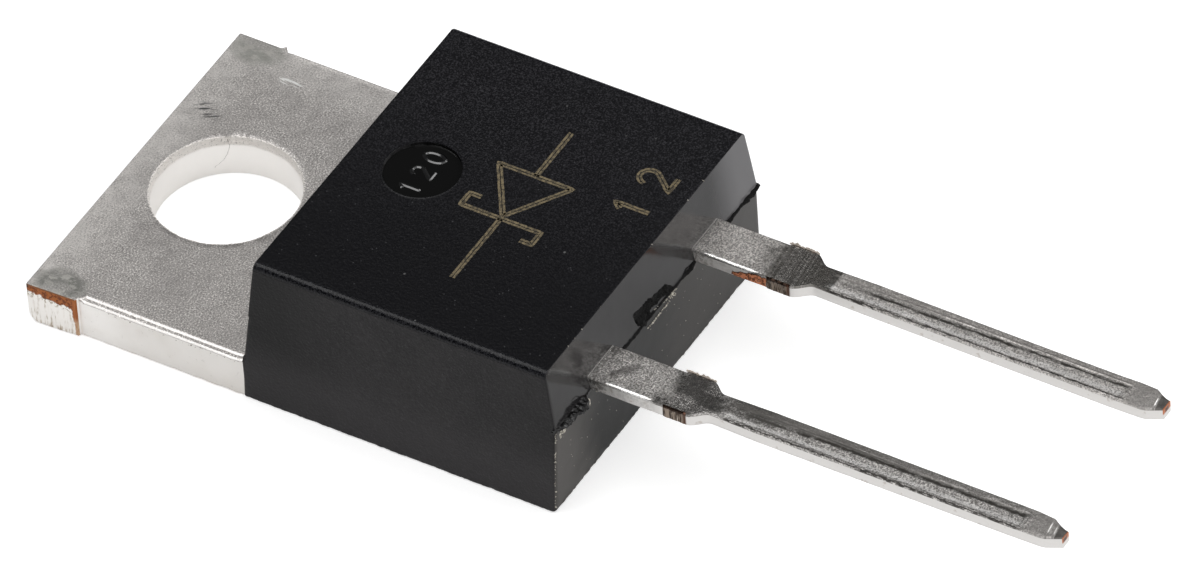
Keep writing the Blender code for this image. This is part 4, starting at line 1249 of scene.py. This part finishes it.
def swept(path, reach, profile, base, rises):
    """A solid along a path of (x, y), with this profile across it."""
    rows = []
    for point, out, rise in zip(path, reach, rises):
        spots = [(*(point + out * share), base + rise * up) for share, up in profile]
        rows.append([(x, along(y), z) for x, y, z in spots])
    return shell(rows)


def ribbon(path, half, low, high):
    """A flat strip along a path of (x, y) on the body's top, with mitred corners."""
    steps = unit(np.diff(path, axis=0))
    before, after = np.vstack([steps[:1], steps]), np.vstack([steps, steps[-1:]])
    ahead = unit(before + after)
    mitre = np.minimum(2.0, 1 / np.maximum(0.3, np.abs((ahead * before).sum(1))))
    reach = np.column_stack([-ahead[:, 1], ahead[:, 0]]) * (half * mitre)[:, None]
    return swept(path, reach, RIBBON_PROFILE, low, [high - low] * len(path))


def bead(path, half, base, tall):
    """A raised stroke with sloping sides and low ends along a path of (x, y)."""
    rises = np.full(len(path), tall)
    rises[[0, -1]] *= 0.1
    return swept(path, crosswise(path) * half, BEAD_PROFILE, base, rises)


def fine_path(path, step=0.05):
    """The path with extra points, so that its strips can be ragged."""
    path = [np.asarray(p, float) for p in path]
    out = []
    for a, b in zip(path, path[1:]):
        out.extend(segment(a, b, max(1, int(np.linalg.norm(b - a) / step))))
    out.append(path[-1])
    return np.array(out)


def digit(number, x, y, tall):
    """The stroke of a plain numeral whose middle is at x, y."""
    wide = tall * 0.52
    curl = [(0.5 * math.sin(a), 0.22 + 0.28 * math.cos(a)) for a in np.linspace(-1.35, 2.1, 12)]
    shapes = (
        [(0.5 * math.sin(a), 0.5 * math.cos(a)) for a in np.linspace(0, 2 * math.pi, 25)],
        [(-0.30, 0.28), (0.05, 0.50), (0.05, -0.50)],
        [(-0.50, 0.28), *curl, (-0.50, -0.50), (0.52, -0.50)],
    )
    return [(x + px * wide, y + py * tall) for px, py in shapes[number]]


def make_marks(material):
    """A plain schottky diode symbol and the leads' numbers, where the real part is marked by laser."""
    strokes = [
        [(-2.9, 2.9), (-0.55, 2.9)],
        [(1.15, 2.9), (2.9, 2.9)],
        [(-0.10, 3.72), (-0.10, 4.05), (-0.55, 4.05), (-0.55, 1.75), (-1.00, 1.75), (-1.00, 2.08)],
        [(-0.45, 2.9), (1.15, 3.95), (1.15, 1.85), (-0.45, 2.9)],
    ]
    strokes += [digit(1, 1.26, 0.20, 0.95), digit(2, 2.42, 0.16, 0.95)]
    parts = []
    for stroke in strokes:
        path = fine_path(stroke)
        for side in (-1, 1):
            shake = 0.006 * wobble(level(path, side), 0.1, 51)
            shifted = path + crosswise(path) * (side * 0.044 + shake)[:, None]
            parts.append(ribbon(shifted, 0.034, BODY_HEIGHT - 0.01, BODY_HEIGHT + 0.003))
    marks = mesh_object("laser_marks", *joined(parts), material, sharp_degrees=30)


def make_cavity_number(material):
    """The raised number of the mould's cavity, on the floor of the pin mark."""
    floor = BODY_HEIGHT - PIN_MARK_DEPTH
    parts = []
    for place, number in enumerate((1, 2, 0)):
        x = PIN_MARK_X + (place - 1) * 0.60
        stroke = digit(number, x, along(PIN_MARK_FROM_END), 0.58)
        parts.append(bead(fine_path(stroke, 0.03), 0.058, floor - 0.002, 0.026))
    number = mesh_object("cavity_number", *joined(parts), material, sharp_degrees=20)


def make_burr(name, centre, material):
    """The thin torn edge that the trimming tool left along the far side of a lead's stub."""
    rows = []
    for s in np.arange(STUB_START - 0.06, STUB_END + 0.10, 0.02):
        tall = 0.045 * (1 - smooth(0.35, 0.5, abs(s - (STUB_START + STUB_END) / 2)))
        tall *= max(0.15, 0.8 + 1.2 * wobble((centre, s, 0.0), 0.07, 71))
        x = centre + STUB_HALF + 0.015 * wobble((centre, s, 4.0), 0.12, 72)
        section = ((-0.03, -0.03), (-0.008, tall), (0.004, tall * 0.9), (0.012, -0.05))
        rows.append([(x + out, s, LEAD_TOP + up) for out, up in section])
    burr = mesh_object(name + "_stub_burr", *shell(rows), material, sharp_degrees=30)


def make_crack(material):
    """The hairline crack down the far wall of the hole."""
    rows = []
    for z in np.linspace(1.18, 0.26, 30):
        turn = np.interp(z, *zip(*CRACK_BEND))
        turn += 0.006 * wobble((z, 0, 0), 0.08, 61)
        ring = []
        for side, out in ((-1, 0.004), (0, -0.003), (1, 0.004), (0, 0.02)):
            angle = CRACK_TURN + turn + side * 0.006
            radius = HOLE_RADIUS + out
            ring.append((radius * math.cos(angle), HOLE_FROM_END - radius * math.sin(angle), z))
        rows.append(ring)
    crack = mesh_object("hole_wall_crack", *shell(rows), material, sharp_degrees=30)


def set_camera():
    """The camera that the photograph was taken with."""
    data = bpy.data.cameras.new("photo_camera")
    data.sensor_fit = "HORIZONTAL"
    data.sensor_width = SENSOR_WIDTH
    data.lens = CAMERA_FOCAL_PIXELS / FRAME_WIDTH_PIXELS * SENSOR_WIDTH
    data.clip_start = 0.01
    data.clip_end = 20.0
    camera = bpy.data.objects.new("photo_camera", data)
    azimuth, elevation, roll = (math.radians(a) for a in (CAMERA_AZIMUTH, CAMERA_ELEVATION, CAMERA_ROLL))
    sideways = Vector((math.cos(azimuth), math.sin(azimuth), 0.0))
    outward = Vector((math.sin(azimuth), -math.cos(azimuth), 0.0))
    back = math.cos(elevation) * outward + math.sin(elevation) * Vector((0.0, 0.0, 1.0))
    upright = back.cross(sideways)
    right = math.cos(roll) * sideways + math.sin(roll) * upright
    up = -math.sin(roll) * sideways + math.cos(roll) * upright
    spot = (Vector(CAMERA_TARGET) + CAMERA_DISTANCE * back) * MM
    camera.matrix_world = Matrix.Translation(spot) @ Matrix((right, up, back)).transposed().to_4x4()
    bpy.context.scene.collection.objects.link(camera)
    bpy.context.scene.camera = camera


def set_floor():
    """White paper that glows a little where the camera or a mirror sees it."""
    mesh = bpy.data.meshes.new("studio_floor")
    half = FLOOR_HALF_SIZE
    corners = [(-half, -half, 0.0), (half, -half, 0.0), (half, half, 0.0), (-half, half, 0.0)]
    mesh.from_pydata(corners, [], [(0, 1, 2, 3)])
    floor = bpy.data.objects.new("studio_floor", mesh)
    bpy.context.scene.collection.objects.link(floor)
    paper = Look("white_paper", (FLOOR_COLOUR,) * 3, 0.9, specular=0.0)
    paper.shader.inputs["Emission Color"].default_value = (1.0, 1.0, 1.0, 1.0)
    rays = add_node(paper.tree, "ShaderNodeLightPath").outputs
    glow = 0.0
    for ray, strength in FLOOR_GLOW.items():
        made = add_node(paper.tree, "ShaderNodeMath", rays[ray], strength, glow, operation="MULTIPLY_ADD")
        glow = made.outputs[0]
    feed(paper.tree, paper.shader.inputs["Emission Strength"], glow)
    mesh.materials.append(paper.done())


def set_world():
    """A soft bright room with a dark side and a darker corner, which the camera sees as white."""
    world = bpy.data.worlds.new("studio")
    bpy.context.scene.world = world
    world.use_nodes = True
    tree = world.node_tree
    tree.nodes.clear()
    place = add_node(tree, "ShaderNodeTexCoord").outputs["Generated"]
    shades = []
    for direction, *limits in ROOM_SHADES:
        towards = Vector(direction).normalized()
        facing = add_node(tree, "ShaderNodeVectorMath", place, towards, operation="DOT_PRODUCT")
        shades.append(Field(tree, facing.outputs["Value"]).ramp(*limits))
    room = add_node(tree, "ShaderNodeBackground", (1.0, 1.0, 1.0), shades[0] * shades[1])
    white = add_node(tree, "ShaderNodeBackground", (1.0, 1.0, 1.0), 1.0)
    seen = add_node(tree, "ShaderNodeLightPath").outputs["Is Camera Ray"]
    mixed = add_node(tree, "ShaderNodeMixShader", seen, room.outputs[0], white.outputs[0])
    add_node(tree, "ShaderNodeOutputWorld", mixed.outputs[0])


def softbox(name, direction, size):
    """A square lamp that faces the part. Its watts follow from how bright its surface looks."""
    data = bpy.data.lights.new(name, "AREA")
    data.shape = "SQUARE"
    data.size = size
    data.energy = SOFTBOX_RADIANCE * math.pi * size * size
    lamp = bpy.data.objects.new(name, data)
    lamp.location = Vector(direction).normalized() * SOFTBOX_DISTANCE
    lamp.rotation_euler = Vector(direction).to_track_quat("Z", "Y").to_euler()
    bpy.context.scene.collection.objects.link(lamp)


set_camera()
set_floor()
set_world()
softbox("overhead_softbox", (-0.05, 0.25, 1.0), 0.9)
softbox("lead_end_softbox", (0.60, -0.58, 0.56), 0.5)

epoxy = moulded_epoxy()
flash = black_flash()
make_body(epoxy, polished_epoxy(), hazy_epoxy())
make_fin(flash, glossy_flash())
make_gate(flash)
make_grains(pale_filler())
make_marks(laser_mark())
make_cavity_number(raised_epoxy())
torn_tin = inner_metal("torn_tin", (0.72, 0.64, 0.56), 0.4, 0.0, 0.08)
for name, centre in LEAD_CENTRES.items():
    make_burr(name, centre, torn_tin)
make_crack(inner_metal("crack_shadow", (0.35, 0.33, 0.30), 0.6, 0.0, 0.05))
make_leadframe(
    tin_for_tab(),
    tin_for_lead("cathode", LEAD_CENTRES["cathode"]),
    tin_for_lead("anode", LEAD_CENTRES["anode"]),
)
silicon = inner_metal("silicon", (0.16, 0.17, 0.20), 0.12, 0.0, 0.4)
solder = inner_metal("solder", (0.45, 0.45, 0.47), 0.5, 1.0, 0.2)
aluminium = inner_metal("bond_aluminium", (0.80, 0.80, 0.82), 0.25, 1.0, 0.08)
wires = {f"bond_wire_{number}": aluminium for number in (1, 2, 3)}
for node, material in {"schottky_die": silicon, "die_solder": solder, **wires}.items():
    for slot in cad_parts[node].material_slots:
        slot.material = material

bpy.context.scene.view_settings.view_transform = "Standard"
